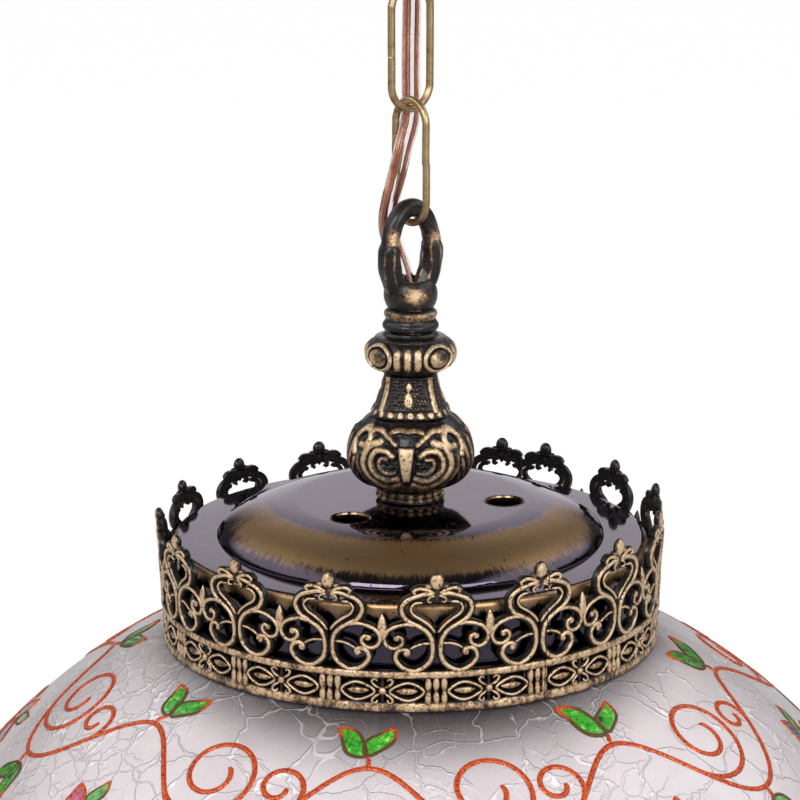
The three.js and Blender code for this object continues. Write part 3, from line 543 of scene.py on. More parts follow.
def flex_stretch(node):
    line = through(np.array(flex_routes[node]) / MM, 72)
    for end, inner in ((-1, -2), (0, 1)):
        reach = line[end] - line[inner]
        line[end] += stretch_overlap * reach / np.linalg.norm(reach)
    sheath = piece(node + "_sheath", led_along(line, twin_section(), along_link), None, "cable",
                   sheath_finish, node)
    _, face, across = directions(line, along_link)
    strands = []
    run = length_of(line) * np.linspace(0, 1, len(line))
    for side in (-1, 1):
        core = line + side * core_offset * face
        for k in range(6):
            angle = 2 * math.pi * (k / 6 + side * run / strand_lay)[:, None]
            strand = core + strand_circle * (np.cos(angle) * face + np.sin(angle) * across)
            strands.append(led_along(strand, oval(strand_radius, strand_radius, 6), along_link))
    cores = piece(node + "_cores", together(strands), None, "cable", copper)
    for part in (sheath, cores):
        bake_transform(part)
    note_cord(node, line)


for node in flex_routes:
    flex_stretch(node)

# %% [markdown]
# Blender's Geometry Nodes set out whatever repeats: motifs of the gallery, beads, leaves and
# petals. One node tree takes points that carry a turn and a size, puts a part on each, and
# varies its size a little from a fixed seed. The result is read back as a Shape, so it can
# still be cut and bent before it becomes a piece.

# %% Repeating a part at places
def repeating_tree():
    tree = bpy.data.node_groups.new("repeat_at_places", "GeometryNodeTree")
    for name, way, kind in (("Places", "INPUT", "Geometry"), ("Part", "INPUT", "Object"),
                            ("Variation", "INPUT", "Float"), ("Seed", "INPUT", "Int"),
                            ("Finish", "INPUT", "Material"), ("Geometry", "OUTPUT", "Geometry")):
        tree.interface.new_socket(name, in_out=way, socket_type="NodeSocket" + kind)
    add = tree.nodes.new
    given, result = add("NodeGroupInput"), add("NodeGroupOutput")
    part = add("GeometryNodeObjectInfo")
    turn, size = add("GeometryNodeInputNamedAttribute"), add("GeometryNodeInputNamedAttribute")
    turn.data_type = "FLOAT_VECTOR"
    turn.inputs["Name"].default_value = "turn"
    size.inputs["Name"].default_value = "size"
    euler = add("FunctionNodeEulerToRotation")
    chance = add("FunctionNodeRandomValue")
    below, above, scaled = (add("ShaderNodeMath") for _ in range(3))
    below.operation, scaled.operation = "SUBTRACT", "MULTIPLY"
    below.inputs[0].default_value = above.inputs[0].default_value = 1
    placed, whole, coat = (add("GeometryNode" + kind)
                           for kind in ("InstanceOnPoints", "RealizeInstances", "SetMaterial"))
    for source, output, target, socket in (
            (given, "Part", part, "Object"), (given, "Variation", below, 1),
            (given, "Variation", above, 1), (below, 0, chance, 2), (above, 0, chance, 3),
            (given, "Seed", chance, "Seed"), (size, "Attribute", scaled, 0),
            (chance, 1, scaled, 1), (turn, "Attribute", euler, 0),
            (given, "Places", placed, "Points"), (part, "Geometry", placed, "Instance"),
            (euler, 0, placed, "Rotation"), (scaled, 0, placed, "Scale"),
            (placed, "Instances", whole, "Geometry"), (whole, "Geometry", coat, "Geometry"),
            (given, "Finish", coat, "Material"), (coat, "Geometry", result, "Geometry")):
        tree.links.new(source.outputs[output], target.inputs[socket])
    return tree


places_tree = repeating_tree()


def shape_from(mesh):
    points = np.empty(len(mesh.vertices) * 3)
    mesh.vertices.foreach_get("co", points)
    rub = np.zeros(len(mesh.vertices))
    if "rub" in mesh.attributes:
        mesh.attributes["rub"].data.foreach_get("value", rub)
    return Shape(points.reshape(-1, 3), [list(face.vertices) for face in mesh.polygons], rub)


def repeated(part, points, finish, turns=None, sizes=None, variation=0.0, seed=1):
    """The part at every point, turned by XYZ angles in radians and scaled by a size."""
    turns = np.zeros((len(points), 3)) if turns is None else turns
    sizes = np.ones(len(points)) if sizes is None else sizes
    places = bpy.data.meshes.new("places")
    places.from_pydata(np.asarray(points, float).tolist(), [], [])
    turn = places.attributes.new("turn", "FLOAT_VECTOR", "POINT")
    turn.data.foreach_set("vector", np.asarray(turns, np.float32).ravel())
    size = places.attributes.new("size", "FLOAT", "POINT")
    size.data.foreach_set("value", np.asarray(sizes, np.float32))
    layout = bpy.data.objects.new("layout", places)
    sample = bpy.data.objects.new("sample", plain_mesh("sample", part))
    for thing in (layout, sample):
        bpy.context.scene.collection.objects.link(thing)
    nodes = layout.modifiers.new("repeat", "NODES")
    nodes.node_group = places_tree
    sockets = {item.name: item.identifier for item in places_tree.interface.items_tree}
    nodes[sockets["Part"]] = sample
    nodes[sockets["Variation"]] = float(variation)
    nodes[sockets["Seed"]] = seed
    nodes[sockets["Finish"]] = finish
    scene_state = bpy.context.evaluated_depsgraph_get()
    shape = shape_from(bpy.data.meshes.new_from_object(layout.evaluated_get(scene_state)))
    layout.modifiers.remove(nodes)
    for thing in (layout, sample):
        bpy.data.objects.remove(thing)
    return shape


# %% [markdown]
# Both links are bent from one round wire and butt together in the middle of a leg, without
# solder. The seam shows as a thin gap with slightly rounded ends.

# %% Chain links
link_half_width = 6.0
link_pitch = 30.5
wire_radius = 0.95


def arc(middle, radius, start, end, count=22):
    angle = np.radians(np.linspace(start, end, count))
    return np.column_stack([radius * np.cos(angle), np.zeros(count),
                            middle + radius * np.sin(angle)])


def link_shape(seam_side, seam_level, seam_gap=0.45):
    upper, lower = -link_half_width, -link_pitch + link_half_width
    leg = link_half_width * seam_side
    side = np.array([seam_side, 1, 1])
    foot_bend = arc(lower, link_half_width, 0, -180) * side
    top_bend = arc(upper, link_half_width, 180, 0) * side
    start = [[leg, 0, seam_level - seam_gap / 2], [leg, 0, seam_level - 0.6]]
    end = [[leg, 0, seam_level + 0.6], [leg, 0, seam_level + seam_gap / 2]]
    steps = 170
    line = through(np.vstack([start, foot_bend, top_bend, end]), steps)
    # bent by hand, so the wire wanders a little out of line
    hand_bent = 0.08 * np.sin(np.arange(steps) / 17.0 + seam_side)
    line += hand_bent[:, None] * np.array([0.4, 1, 0])
    swell = np.ones(steps)
    swell[[0, -1]] = 0.8
    return led_along(line, oval(wire_radius, wire_radius, 14), (0, 1, 0), scale=swell)


for name, top, turn, seam_side, seam_level in (
        ("upper", -51.2, link_turn, -1, -17.25), ("lower", -79.5, link_turn - 90, 1, -15.25)):
    shape = link_shape(seam_side, seam_level).turned_by(turn).moved(z=top)
    piece("link_" + name, shape, "link_" + name, "brass", wire, "chain_link_" + name)

# %% [markdown]
# The stem is a stack of small zinc castings on a threaded tube. Their relief is cut as a
# height over the turned form: ridges follow drawn lines, and what stands proud is rubbed.

# %% Relief on turned castings
level = {  # undersides of the castings over the gallery's foot, in millimetres
    "foot": 35.0, "knop": 37.9, "waist": 57.2, "capital": 67.6, "collar": 78.4, "socket": 84.3}
casting_turn = math.radians(-4)


def hump(distance, width, power=1.0):
    """A rounded ridge: 1 in its middle, 0 from the width on."""
    return unit(1 - (distance / width) ** 2) ** power


def distance_to(line, u, v):
    """Distance of every (u, v) from a drawn line."""
    best = np.full(np.broadcast(u, v).shape, 1e9)
    for (au, av), (bu, bv) in zip(line[:-1], line[1:]):
        du, dv = bu - au, bv - av
        t = unit(((u - au) * du + (v - av) * dv) / max(du * du + dv * dv, 1e-9))
        best = np.minimum(best, np.hypot(u - au - t * du, v - av - t * dv))
    return best


def lobe(line, u, v, width):
    """A broad rounded lobe along a line, 0 to 1. Where two meet, a fine groove stays dark."""
    return hump(distance_to(line, u, v), width, 0.7)


def drawn(points, count=26):
    return through(np.asarray(points, float), count)


scatter = np.random.default_rng(11).uniform(-0.22, 0.22, (64, 64, 2))


def stipple(u, v, pitch):
    """Small round grains in staggered rows, each a little out of place."""
    row = np.round(v / pitch)
    column = np.round(u / pitch - 0.5 * (row % 2))
    nearest = np.full(np.broadcast(u, v).shape, 9.0)
    for dr in (-1, 0, 1):
        for dc in (-1, 0, 1):
            r, c = row + dr, column + dc
            shift = scatter[r.astype(int) % 64, c.astype(int) % 64]
            du = u - (c + 0.5 * (r % 2) + shift[..., 0]) * pitch
            dv = v - (r + shift[..., 1]) * pitch
            nearest = np.minimum(nearest, np.hypot(du, dv))
    return hump(nearest, 0.52 * pitch, 0.6)


def wrapped(angle, period):
    return (angle + period / 2) % period - period / 2


def bored(profile, bore=5.3):
    """Closes a profile down to the bore that the tube passes."""
    profile = [list(p) for p in profile]
    return [[bore, profile[0][1]]] + profile + [[bore, profile[-1][1]]]


def casting_shape(name, points, rows, sides, relief=None, rub=0.0):
    """A smooth profile of [radius, height over its own underside], turned."""
    profile = drawn(np.array(points) + [0, level[name]], rows)
    return turned(bored(profile), sides, relief, rub=rub)


# %% [markdown]
# The lowest casting is a plain ring that carries two rows of small beads. They could be a
# relief too, but a bead is rounder than a height over a turned form can be, so one bead is
# modelled and repeated, each a little larger or smaller.

# %% Foot, with a ring of beads
def foot_shape():
    body = casting_shape("foot", [[8.4, 0], [8.3, 0.8], [7.6, 1.5], [7.7, 2.6]], 12, 72)
    t = np.linspace(0, math.pi, 8)
    bead = turned(np.column_stack([np.sin(t) * 0.85, -np.cos(t) * 0.75]), 10, closed=False,
                  rub=0.6)
    angle = full_turn(20)
    upper = np.column_stack([7.75 * np.sin(angle), -7.75 * np.cos(angle),
                             np.full(20, level["foot"] + 1.9)])
    lower = upper * np.array([1.03, 1.03, 1]) - np.array([0, 0, 1.15])
    beads = repeated(bead, np.vstack([upper, lower]), antique, variation=0.1, seed=3)
    return body + beads


# %% [markdown]
# The knop is the richest casting: scrolled leaves in front and behind, ribbed shells at its
# sides. Sculpting it would be the usual way. Here each relief is worked out over the unrolled
# surface instead, so it can be measured from the photograph: u runs round the casting and v
# is the height over its underside, both in millimetres. The lobes are drawn on the left half
# of the front and mirrored to the other half and to the back.

# %% Knop, with leaf scrolls in front and behind and shells at the sides
knop_radius = 16.2
knop_lobes = [  # drawn on the left half of the front: line, width and height
    (drawn([[-1.9, 3.9], [-5.6, 2.6], [-10.0, 4.6], [-12.4, 8.8], [-11.0, 13.0],
            [-7.6, 14.6]], 40), 1.5, 1.0),
    (drawn([[-2.3, 5.6], [-5.6, 4.9], [-8.8, 6.6], [-9.9, 9.6], [-8.6, 12.2], [-5.6, 12.6],
            [-3.6, 11.4]], 36), 1.25, 0.95),
    (drawn([[-3.0, 7.2], [-5.4, 7.0], [-7.2, 8.6], [-6.9, 10.4], [-5.2, 10.6]], 24), 0.95, 0.85),
    (drawn([[-6.4, 0.8], [-11.2, 3.0], [-14.6, 7.0], [-14.9, 10.6]], 24), 1.15, 0.8),
    (drawn([[-16.3, 10.8], [-17.2, 14.0], [-15.6, 16.6], [-12.9, 17.0], [-11.4, 15.2],
            [-12.3, 13.3], [-14.1, 13.2]], 34), 1.25, 1.2),
    (drawn([[-11.2, 17.0], [-8.2, 17.0], [-5.2, 15.6], [-3.0, 14.2]], 18), 1.1, 0.9),
    (drawn([[-5.0, 16.9], [-2.6, 17.4], [0, 17.2]], 14), 1.0, 0.85),
    (drawn([[-4.6, 2.2], [-2.9, 3.3], [-1.4, 3.2], [-0.4, 2.4]], 16), 1.0, 0.95),
]


def knop_relief(angle, height, radius):
    v = height - level["knop"]
    half_turn = wrapped(angle - casting_turn, math.pi) * knop_radius
    u = np.abs(half_turn)
    raised = np.zeros(np.broadcast(u, v).shape)
    for line, width, strength in knop_lobes:
        raised = np.maximum(raised, strength * lobe(line, -u, v, width))
    # a narrow shield down the middle, and fine grains in the eye of each scroll
    shield = unit(1.5 - (u / (0.75 + 0.14 * (v - 4))) ** 2) ** 0.5 * (v > 5) * (v < 13.6)
    grains = (np.hypot((u - 4.0) / 1.6, (v - 8.6) / 2.3) < 1) * stipple(half_turn, v, 0.95)
    raised = np.maximum(raised, np.maximum(1.15 * shield, 0.55 * grains * (raised < 0.3)))
    # the shells, whose flutes spread upwards
    side = wrapped(angle - casting_turn - math.pi / 2, math.pi) * knop_radius
    spread = side / (0.5 + np.clip(v, 0, 16) / 19)
    flutes = np.abs(np.cos(math.pi * spread / 3.1)) ** 0.45 * unit((11 - np.abs(side)) / 1.2)
    flutes = flutes * unit((15.8 + 0.8 * np.cos(side) - v) / 0.8) * (raised < 0.25)
    raised = np.maximum(raised, 0.85 * flutes)
    # both ends stay plain, and what stands proud is rubbed bright, more on the upper part as a
    # painted highlight where light falls from above
    ends = unit(v / 1.2) * unit((19 - v) / 0.8)
    outside = radius > 5.6
    top_highlight = unit(0.45 + v / 14)
    worn = unit((raised - 0.45) / 0.5) * top_highlight * 0.9
    return (1.25 * raised - 0.55) * ends * outside, worn * ends * outside


def knop_shape():
    return casting_shape("knop", [[7.8, 0], [9.8, 0.8], [13.4, 2.8], [15.5, 6.6], [15.5, 10.8],
                                  [14.0, 15], [11.6, 17.8], [9.6, 19]], 96, 440, knop_relief)


# %% [markdown]
# The waist is nearly square with a rib on each corner. It is turned like the others, and the
# height function also pushes its corners out, which keeps one way of making for the whole
# stack. A row of pearls runs round its lower end, and each panel carries a lozenge over a
# drop on a stippled ground.

# %% Waist, four stippled panels between corner ribs
def waist_relief(angle, height, radius):
    v = height - level["waist"]
    u = wrapped(angle - casting_turn, math.pi / 2) * radius
    corner = wrapped(angle - casting_turn - math.pi / 4, math.pi / 2) * radius
    rib = hump(corner, 1.1, 0.6)
    panel = (np.abs(corner) > 1.5) * (v > 2.6) * (v < 9.4)
    lozenge = unit(1.35 - (np.abs(u) / 0.9 + np.abs(v - 7.7) / 1.3)) ** 0.5
    drop = unit(1.4 - np.hypot(u / (0.95 + 0.12 * (5 - v)), (v - 4.7) / 1.6)) ** 0.5
    grains = panel * 0.62 * stipple(u + 0.2 * v, v, 0.92)
    band = hump(v - 1.1, 1.0, 0.5)
    pearls = band * (0.75 + 0.25 * np.cos(angle * 24))
    lip = hump(v - 9.8, 0.4)
    raised = np.maximum.reduce([0.9 * rib * (v > 1.6), grains, 1.05 * lozenge, 1.05 * drop,
                                0.9 * pearls, 0.5 * lip])
    outside = radius > 5.6
    square = 0.5 - 0.5 * np.cos(4 * (angle - casting_turn))
    worn = unit((raised - 0.35) / 0.4) * 0.85
    return (0.62 * raised + 0.75 * (square - 0.6) - 0.1) * outside, worn * outside


def waist_shape():
    t = np.linspace(0, 1, 84)
    profile = np.column_stack([6.9 + 3.5 * (1 - t) ** 1.7, level["waist"] + 10.1 * t])
    return turned(bored(profile), 340, waist_relief)


# %% [markdown]
# The capital's big ovals sit over the corners of the waist, with upright reeds between them.
# The collar over it has no relief, so it is only turned, and rubbed on its two beads.

# %% Capital, big ovals on the corners and reeds between
def capital_relief(angle, height, radius):
    v = height - level["capital"] - 5.0
    corner = wrapped(angle - casting_turn - math.pi / 4, math.pi / 2) * 11.4
    u = wrapped(angle - casting_turn, math.pi / 2) * 11.4
    reach = np.hypot(corner / 4.5, v / 3.3)
    boss = hump(reach, 0.78, 0.5)
    rim = hump(reach - 0.97, 0.17, 0.6)
    tall = unit(1 - (np.abs(v) / 3.7) ** 4)
    reeds = np.abs(np.cos(math.pi * u / 2.7)) ** 0.55 * tall * (np.abs(u) < 4.0) * (reach > 1.1)
    shoulder = 0.55 * hump(v - 4.1, 0.55) + 0.4 * hump(v + 4.2, 0.5)
    raised = np.maximum.reduce([1.15 * boss, 1.0 * rim, 0.85 * reeds, shoulder])
    outside = radius > 5.8
    crescent = 1 - 0.75 * boss * unit(0.5 + (v + corner) / 5)
    worn = unit((raised - 0.35) / 0.4) * unit(1.25 - 0.12 * np.abs(v)) * crescent
    return (1.05 * raised - 0.45) * outside, worn * outside


def capital_shape():
    return casting_shape("capital", [[7.2, 0], [8.4, 0.9], [10.4, 2.2], [11.2, 4.8], [10.8, 7.0],
                                     [9.0, 8.9], [7.4, 9.8], [6.9, 10.5]], 72, 320, capital_relief)


def collar_shape():
    rub = np.zeros((1, 32))
    rub[:, 4:9] = 0.25         # the lower bead
    rub[:, 18:27] = 0.62       # the upper one
    return casting_shape("collar", [[5.9, 0], [6.9, 0.5], [7.05, 1.5], [6.5, 2.4], [6.3, 3.2],
                                    [6.7, 4], [6.5, 4.8], [5.6, 5.6]], 30, 96, rub=rub)


for name, node, shape in (
        ("foot", "beaded_foot", foot_shape()), ("knop", "foliate_knop", knop_shape()),
        ("waist", "tapered_waist", waist_shape()), ("capital", "volute_capital", capital_shape()),
        ("collar", "neck_collar", collar_shape())):
    piece(name, shape.moved(z=foot), "lamp", "antique", antique, node, crease=60)

# %% [markdown]
# The hanger is one casting: an oval ring whose legs grow out of a rounded socket, each leg
# wrapped to half its height in a leaf that ends in a step. The socket is open on top, where
# the flex goes in.

# %% Hanger
ring_half_width = 6.8
ring_middle = 98.05
ring_half_height = 11.25


def ring_shape():
    angle = np.radians(np.linspace(-72, 252, 190))
    line = np.column_stack([ring_half_width * np.cos(angle), np.zeros(190),
                            ring_middle + ring_half_height * np.sin(angle)])
    _, face, across = directions(line, (0, 1, 0))
    around = full_turn(36)
    height = line[:, 2][:, None]
    leaf_end = 99.6 + 1.1 * np.cos(2 * around)[None, :]
    leaf = 1 / (1 + np.exp((height - leaf_end) / 0.18))
    veins = unit(np.cos(7 * around + 0.25 * (height - 90))) ** 2 * leaf
    lumps = np.sin(height * 1.3 + 2 * around) + np.sin(height * 0.7 - 3 * around)
    radius = 2.3 + 0.42 * leaf + 0.26 * veins + 0.045 * lumps
    spokes = (np.cos(around)[None, :, None] * face[:, None]
              + np.sin(around)[None, :, None] * across[:, None])
    net = line[:, None] + radius[..., None] * spokes
    # the ring's front face near its top is rubbed gold, partly wear and partly a painted highlight
    # on the side that faces the lamps
    front = unit(-net[..., 1] / 2.3)
    worn = 0.75 * front * np.exp(-((height - 101.6) / 3.2) ** 2) * (1 - leaf) + 0.5 * veins + 0.12
    return grid_shape(net, wrap_columns=True, rub=worn, capped=True).turned_by(link_turn)


def socket_shape():
    z = level["socket"]
    profile = drawn(np.array([[5.3, 0], [5.9, 0.1], [6.6, 1.8], [6.75, 3.6], [6.3, 5.4], [5.4, 6.8],
                              [4.7, 7.0], [4.4, 6.6], [4.4, 4]]) + [0, z], 44)
    around = full_turn(80)
    # the gold patch on the socket's front is partly wear and partly a painted highlight facing the
    # lamps
    patch = np.exp(-(wrapped(around - 0.2, 2 * math.pi)[:, None] / 0.55) ** 2)
    worn = 0.2 + 0.75 * patch * np.exp(-((profile[None, :, 1] - z - 3.6) / 2.2) ** 2)
    return turned(profile, 80, rub=worn)


hanger = (ring_shape() + socket_shape()).moved(z=foot)
piece("hanger", hanger, "lamp", "antique", antique, "hanger_loop", crease=50)

# %% [markdown]
# The gallery was cast flat from one pattern, snipped into strips and bent round the cap by
# hand. So the pattern is drawn flat here too: u runs along the strip, v is the height over
# the gallery's foot. A scroll has a flat dark base and a narrow ridge that was rubbed gold.

# %% Strokes of the flat pattern
strip_radius = 62.5
gallery_height = 34.3
rail_level = 9.2
motif_pitch = 23.2
first_motif = -87.2
cell = math.radians(motif_pitch) * strip_radius
outward = np.array([0.0, -1.0, 0.0])


def scroll_section(width, lift):
    """Half of the section as [out, across, rub], then the other half mirrored."""
    half = [[-0.8, 1.0, 0], [0.2, 1.0, 0.1], [0.42, 0.84, 0.3], [0.36, 0.62, 0.0],
            [0.42 + 0.55 * lift, 0.46, 0.7], [0.42 + lift, 0.2, 1]]
    half = np.array(half)
    other = half[::-1] * np.array([1, -1, 1])
    section = np.vstack([half, other])
    return section[:, :2] * np.array([1, width]), section[:, 2]


def flat_line(points, count, closed=False):
    line = through(points, count, closed)
    return np.column_stack([line[:, 0], np.zeros(len(line)), line[:, 1]])


def rounded_ends(line, reach=0.9, least=0.4):
    along = distances_along(line)
    inset = unit(np.minimum(along, along[-1] - along) / reach)
    return least + (1 - least) * np.sqrt(unit(1 - (1 - inset) ** 2))


def stroke(points, width=1.0, lift=0.55, count=None, closed=False):
    count = count or max(8, int(length_of(flat_line(points, 60, closed)) / 0.55))
    line = flat_line(points, count, closed)
    section, rub = scroll_section(width, lift)
    scale = 1.0 if closed else rounded_ends(line)
    return led_along(line, section, outward, closed, scale, rub[None, :])


def ball(u, v, wide, tall, deep, rub=0.9, sides=14, rows=9):
    t = np.linspace(0, math.pi, rows)
    form = turned(np.column_stack([np.sin(t), -np.cos(t)]), sides, closed=False, rub=rub)
    outer_side = unit(0.15 - form.points[:, 1])
    points = form.points * np.array([wide, deep, tall])
    return Shape(points, form.faces, form.rub * outer_side).moved(u, 0, v)


def pod(start, end, out, across, rub=0.9, power=0.6, count=12):
    """A pointed oval body between two places of the flat pattern."""
    line = flat_line([start, [(start[0] + end[0]) / 2, (start[1] + end[1]) / 2], end], count)
    scale = np.sin(np.linspace(0.04, math.pi - 0.04, count)) ** power
    section = oval(out, across, 10)
    rub = rub * unit(section[:, 0] / out + 0.2)
    return led_along(line, section, outward, scale=scale, rub=rub)


def both_sides(shape):
    return shape + shape.mirrored()


# %% [markdown]
# All peaks of the real gallery came from one pattern, so one motif stands for them all. A
# flat drawing cut from sheet would look sawn; strokes with a raised ridge look cast. The left
# half is drawn stroke by stroke and mirrored, and the finial in the middle is added once.

# %% One motif: a heart of two scrolls, a crest of leaves and a ball finial
def motif_shape():
    heart = stroke([[-0.6, 29.1], [-2.4, 29.4], [-4.4, 28.9], [-6.9, 27.8], [-8.1, 25.8],
                    [-7.2, 23.3], [-4.75, 21.7], [-2.6, 20.3], [-1.3, 18.4], [-0.95, 16.4],
                    [-1.0, 14.2], [-2.0, 12.0], [-4.75, 10.3], [-7.6, 10.9], [-9.5, 13.1],
                    [-9.0, 15.1], [-7.5, 15.7], [-6.4, 15.0], [-6.8, 14.2]], 1.0, 0.6)
    lining = stroke([[-3.2, 27.2], [-4.9, 27.1], [-6.0, 25.8], [-5.3, 24.2], [-3.4, 22.9],
                     [-1.5, 21.3], [-0.3, 19.6]], 0.6, 0.35)
    crest = stroke([[-0.4, 29.2], [-2.2, 30.3], [-4.1, 30.7], [-5.4, 30.0], [-4.7, 29.1]],
                   0.8, 0.5)
    tendril = stroke([[-0.3, 28.7], [-1.2, 28.7], [-2.1, 28.1], [-1.9, 27.3], [-1.1, 27.3]],
                     0.5, 0.35)
    hook = stroke([[-4.9, 21.4], [-6.6, 21.9], [-8.7, 21.6], [-11.0, 20.5], [-12.2, 18.4],
                   [-11.4, 16.4], [-9.6, 15.9], [-8.1, 16.8], [-7.9, 18.2], [-8.9, 18.9],
                   [-9.7, 18.2]], 0.85, 0.5)
    branch = stroke([[-1.3, 17.0], [-3.2, 17.0], [-5.0, 16.4], [-6.3, 15.5]], 0.55, 0.3)
    eyes = ball(-6.9, 14.5, 0.95, 0.95, 0.9) + ball(-9.3, 18.3, 0.9, 0.9, 0.85)
    knob = ball(-2.0, 31.0, 1.0, 0.85, 0.9, rub=0.6)
    finial = ball(0, 32.2, 1.75, 2.1, 1.15, rub=0.95)
    finial = finial + pod([0, 27.6], [0, 31.6], 0.8, 0.9, rub=0.4)
    return both_sides(heart + lining + crest + tendril + hook + branch + eyes + knob) + finial


# %% [markdown]
# The band between lip and rail has three bulbed bars under each heart, a lens loop with a
# pod at either side of them, and a small flower where two motifs meet. All are small closed
# bodies that sink into each other, as in the casting, and needn't be joined.

# %% The band below: stacked bulbs, lens loops and small flowers
def bars_shape():
    t = np.linspace(0, 1, 22)
    scale = 0.55 + 0.45 * np.abs(np.sin(2 * math.pi * t)) ** 0.8
    worn = scale[:, None] * unit(oval(1, 1, 10)[:, 0] + 0.2)
    return together([led_along(flat_line([[u, 1.4], [u, 5], [u, 8.6]], 22), oval(0.85, 0.85, 10),
                               outward, scale=scale, rub=worn) for u in (-1.9, 0, 1.9)])


def loops_shape():
    loop = stroke([[2.9, 5.0], [4.4, 6.5], [6.6, 7.2], [9.0, 6.5], [10.9, 5.0], [9.0, 3.5],
                   [6.6, 2.8], [4.4, 3.5]], 0.6, 0.4, count=44, closed=True)
    return both_sides(loop + pod([4.3, 5.0], [9.5, 5.0], 0.8, 0.95, rub=0.7))


def flower_shape():
    petal = stroke([[-0.6, 0.7], [-1.9, 1.5], [-2.5, 2.5], [-1.7, 3.1], [-1.1, 2.3]], 0.6, 0.4)
    petal = both_sides(petal)
    under = Shape(petal.points * np.array([1, 1, -1]), [face[::-1] for face in petal.faces],
                  petal.rub)
    head = (petal + under).moved(z=5.1) + ball(0, 5.1, 1.05, 1.05, 1.15)
    stem = pod([0, 1.2], [0, 9.0], 0.6, 0.6, rub=0.3)
    return head + stem + pod([0, 17.4], [0, 24.2], 0.95, 1.25, power=0.8)


motif, bars, loops, blossom = motif_shape(), bars_shape(), loops_shape(), flower_shape()
cell_faces = sum(len(part.faces) for part in (motif, bars, loops, blossom))
print("one cell of the gallery has", cell_faces, "faces")


# %% [markdown]
# Lip and rail run the whole length of a strip. A true extrusion would catch the light like
# drawn wire, so the sum of a few slow and quick waves moves their outer edges, as sand does.

# %% Lip and rail, run along the strip with the unevenness of a sand casting
edge_waves = ((0.31, 0.4), (0.83, 2.1), (2.3, 1.0), (4.1, 0.2))    # radians per mm, and start


def rough_run(section, rub, start, end, wobble):
    count = int((end - start) / 0.9)
    u = np.linspace(start, end, count)
    line = np.column_stack([u, np.zeros(count), np.zeros(count)])
    section = np.asarray(section, float)
    net = (line[:, None] + section[None, :, :1] * outward
           + section[None, :, 1:] * np.array([0, 0, 1.0]))
    waves = sum(np.sin(u * f + p) for f, p in edge_waves) / 4
    moving = (np.asarray(rub)[None, :] > 0) * waves[:, None] * wobble
    net = net + moving[..., None] * outward + moving[..., None] * np.array([0, 0, 0.7])
    worn = np.asarray(rub, float)[None, :] * (0.85 + 0.3 * waves[:, None])
    return grid_shape(net, wrap_columns=True, rub=worn, capped=True)


lip_section = [[0.8, 0.1], [0.82, 0.8], [0.78, 1.4], [0.55, 1.9], [0.3, 2.3], [-0.9, 2.6],
               [-1.9, 2.8], [-1.9, 1.55]]
lip_rub = [0.55, 0.85, 0.9, 0.7, 0.3, 0, 0, 0]
rail_section = [[-0.8, 8.25], [0.7, 8.25], [0.95, 8.5], [1.1, 8.9], [1.12, 9.4], [0.95, 9.9],
                [0.7, 10.15], [-0.8, 10.15]]
rail_rub = [0, 0.35, 0.8, 1.0, 1.0, 0.85, 0.4, 0]


# %% [markdown]
# The circle holds fifteen and a half motifs, so the pattern can't close, and the real gallery
# is in three strips: the front and right ones meet in a seam, the right and back ones end near
# each other behind. Each is laid out flat and a little too long, cut to length with its holes
# closed, and then bent by moving its points, because a bend of the flat pattern keeps every
# stroke's thickness.

# %% Cutting and bending the strips
def cut_between(shape, start, end):
    made = bmesh.new()
    made.from_mesh(plain_mesh("flat", shape))
    for side, at in ((1, start), (-1, end)):
        everything = made.verts[:] + made.edges[:] + made.faces[:]
        cut = bmesh.ops.bisect_plane(made, geom=everything, dist=1e-5, plane_co=(at, 0, 0),
                                     plane_no=(side, 0, 0), clear_inner=True)
        edges = [part for part in cut["geom_cut"] if isinstance(part, bmesh.types.BMEdge)]
        bmesh.ops.holes_fill(made, edges=edges, sides=0)
    mesh = bpy.data.meshes.new("cut")
    made.to_mesh(mesh)
    made.free()
    return shape_from(mesh)


def bent_round_cap(shape, lean=1.3, rise=1.5):
    u, depth, v = shape.points.T
    azimuth = u / strip_radius
    share = np.maximum(0, v - rail_level) / (gallery_height - rail_level)
    radius = strip_radius - depth + lean * share
    points = np.column_stack([radius * np.sin(azimuth), -radius * np.cos(azimuth),
                              v + rise * share * np.sin(azimuth)])
    return Shape(points, shape.faces, shape.rub)


seam = first_motif + 5 * motif_pitch + 1.7
lap = first_motif + 10.27 * motif_pitch
left_end = first_motif - motif_pitch / 2
strips = {  # from and to, in degrees, number of the first motif, and how many
    "front": (left_end, seam, 0, 6), "right": (seam, lap, 5, 6),
    "back": (lap - 360, left_end, -5, 5)}


def along_strip(azimuth):
    return math.radians(azimuth) * strip_radius


for name, (start, end, first, count) in strips.items():
    peaks = [along_strip(first_motif + (first + k) * motif_pitch) for k in range(count)]
    at_peaks = np.array([[u, 0, 0] for u in peaks])
    between = np.vstack([at_peaks[:1] - [cell / 2, 0, 0], at_peaks + [cell / 2, 0, 0]])
    run_from, run_to = along_strip(start) - 1, along_strip(end) + 1
    flat = repeated(motif, at_peaks, antique, variation=0.006, seed=len(name))
    flat = flat + repeated(bars + loops, at_peaks, antique, variation=0.004, seed=2)
    flat = flat + repeated(blossom, between, antique, variation=0.01, seed=5)
    flat = flat + rough_run(lip_section, lip_rub, run_from, run_to, 0.12)
    flat = flat + rough_run(rail_section, rail_rub, run_from, run_to, 0.16)
    strip = cut_between(flat, along_strip(start) + 0.15, along_strip(end) - 0.15)
    piece("gallery_" + name, bent_round_cap(strip).moved(z=foot), "lamp", "antique", antique,
          "gallery_strip_" + name, crease=50)
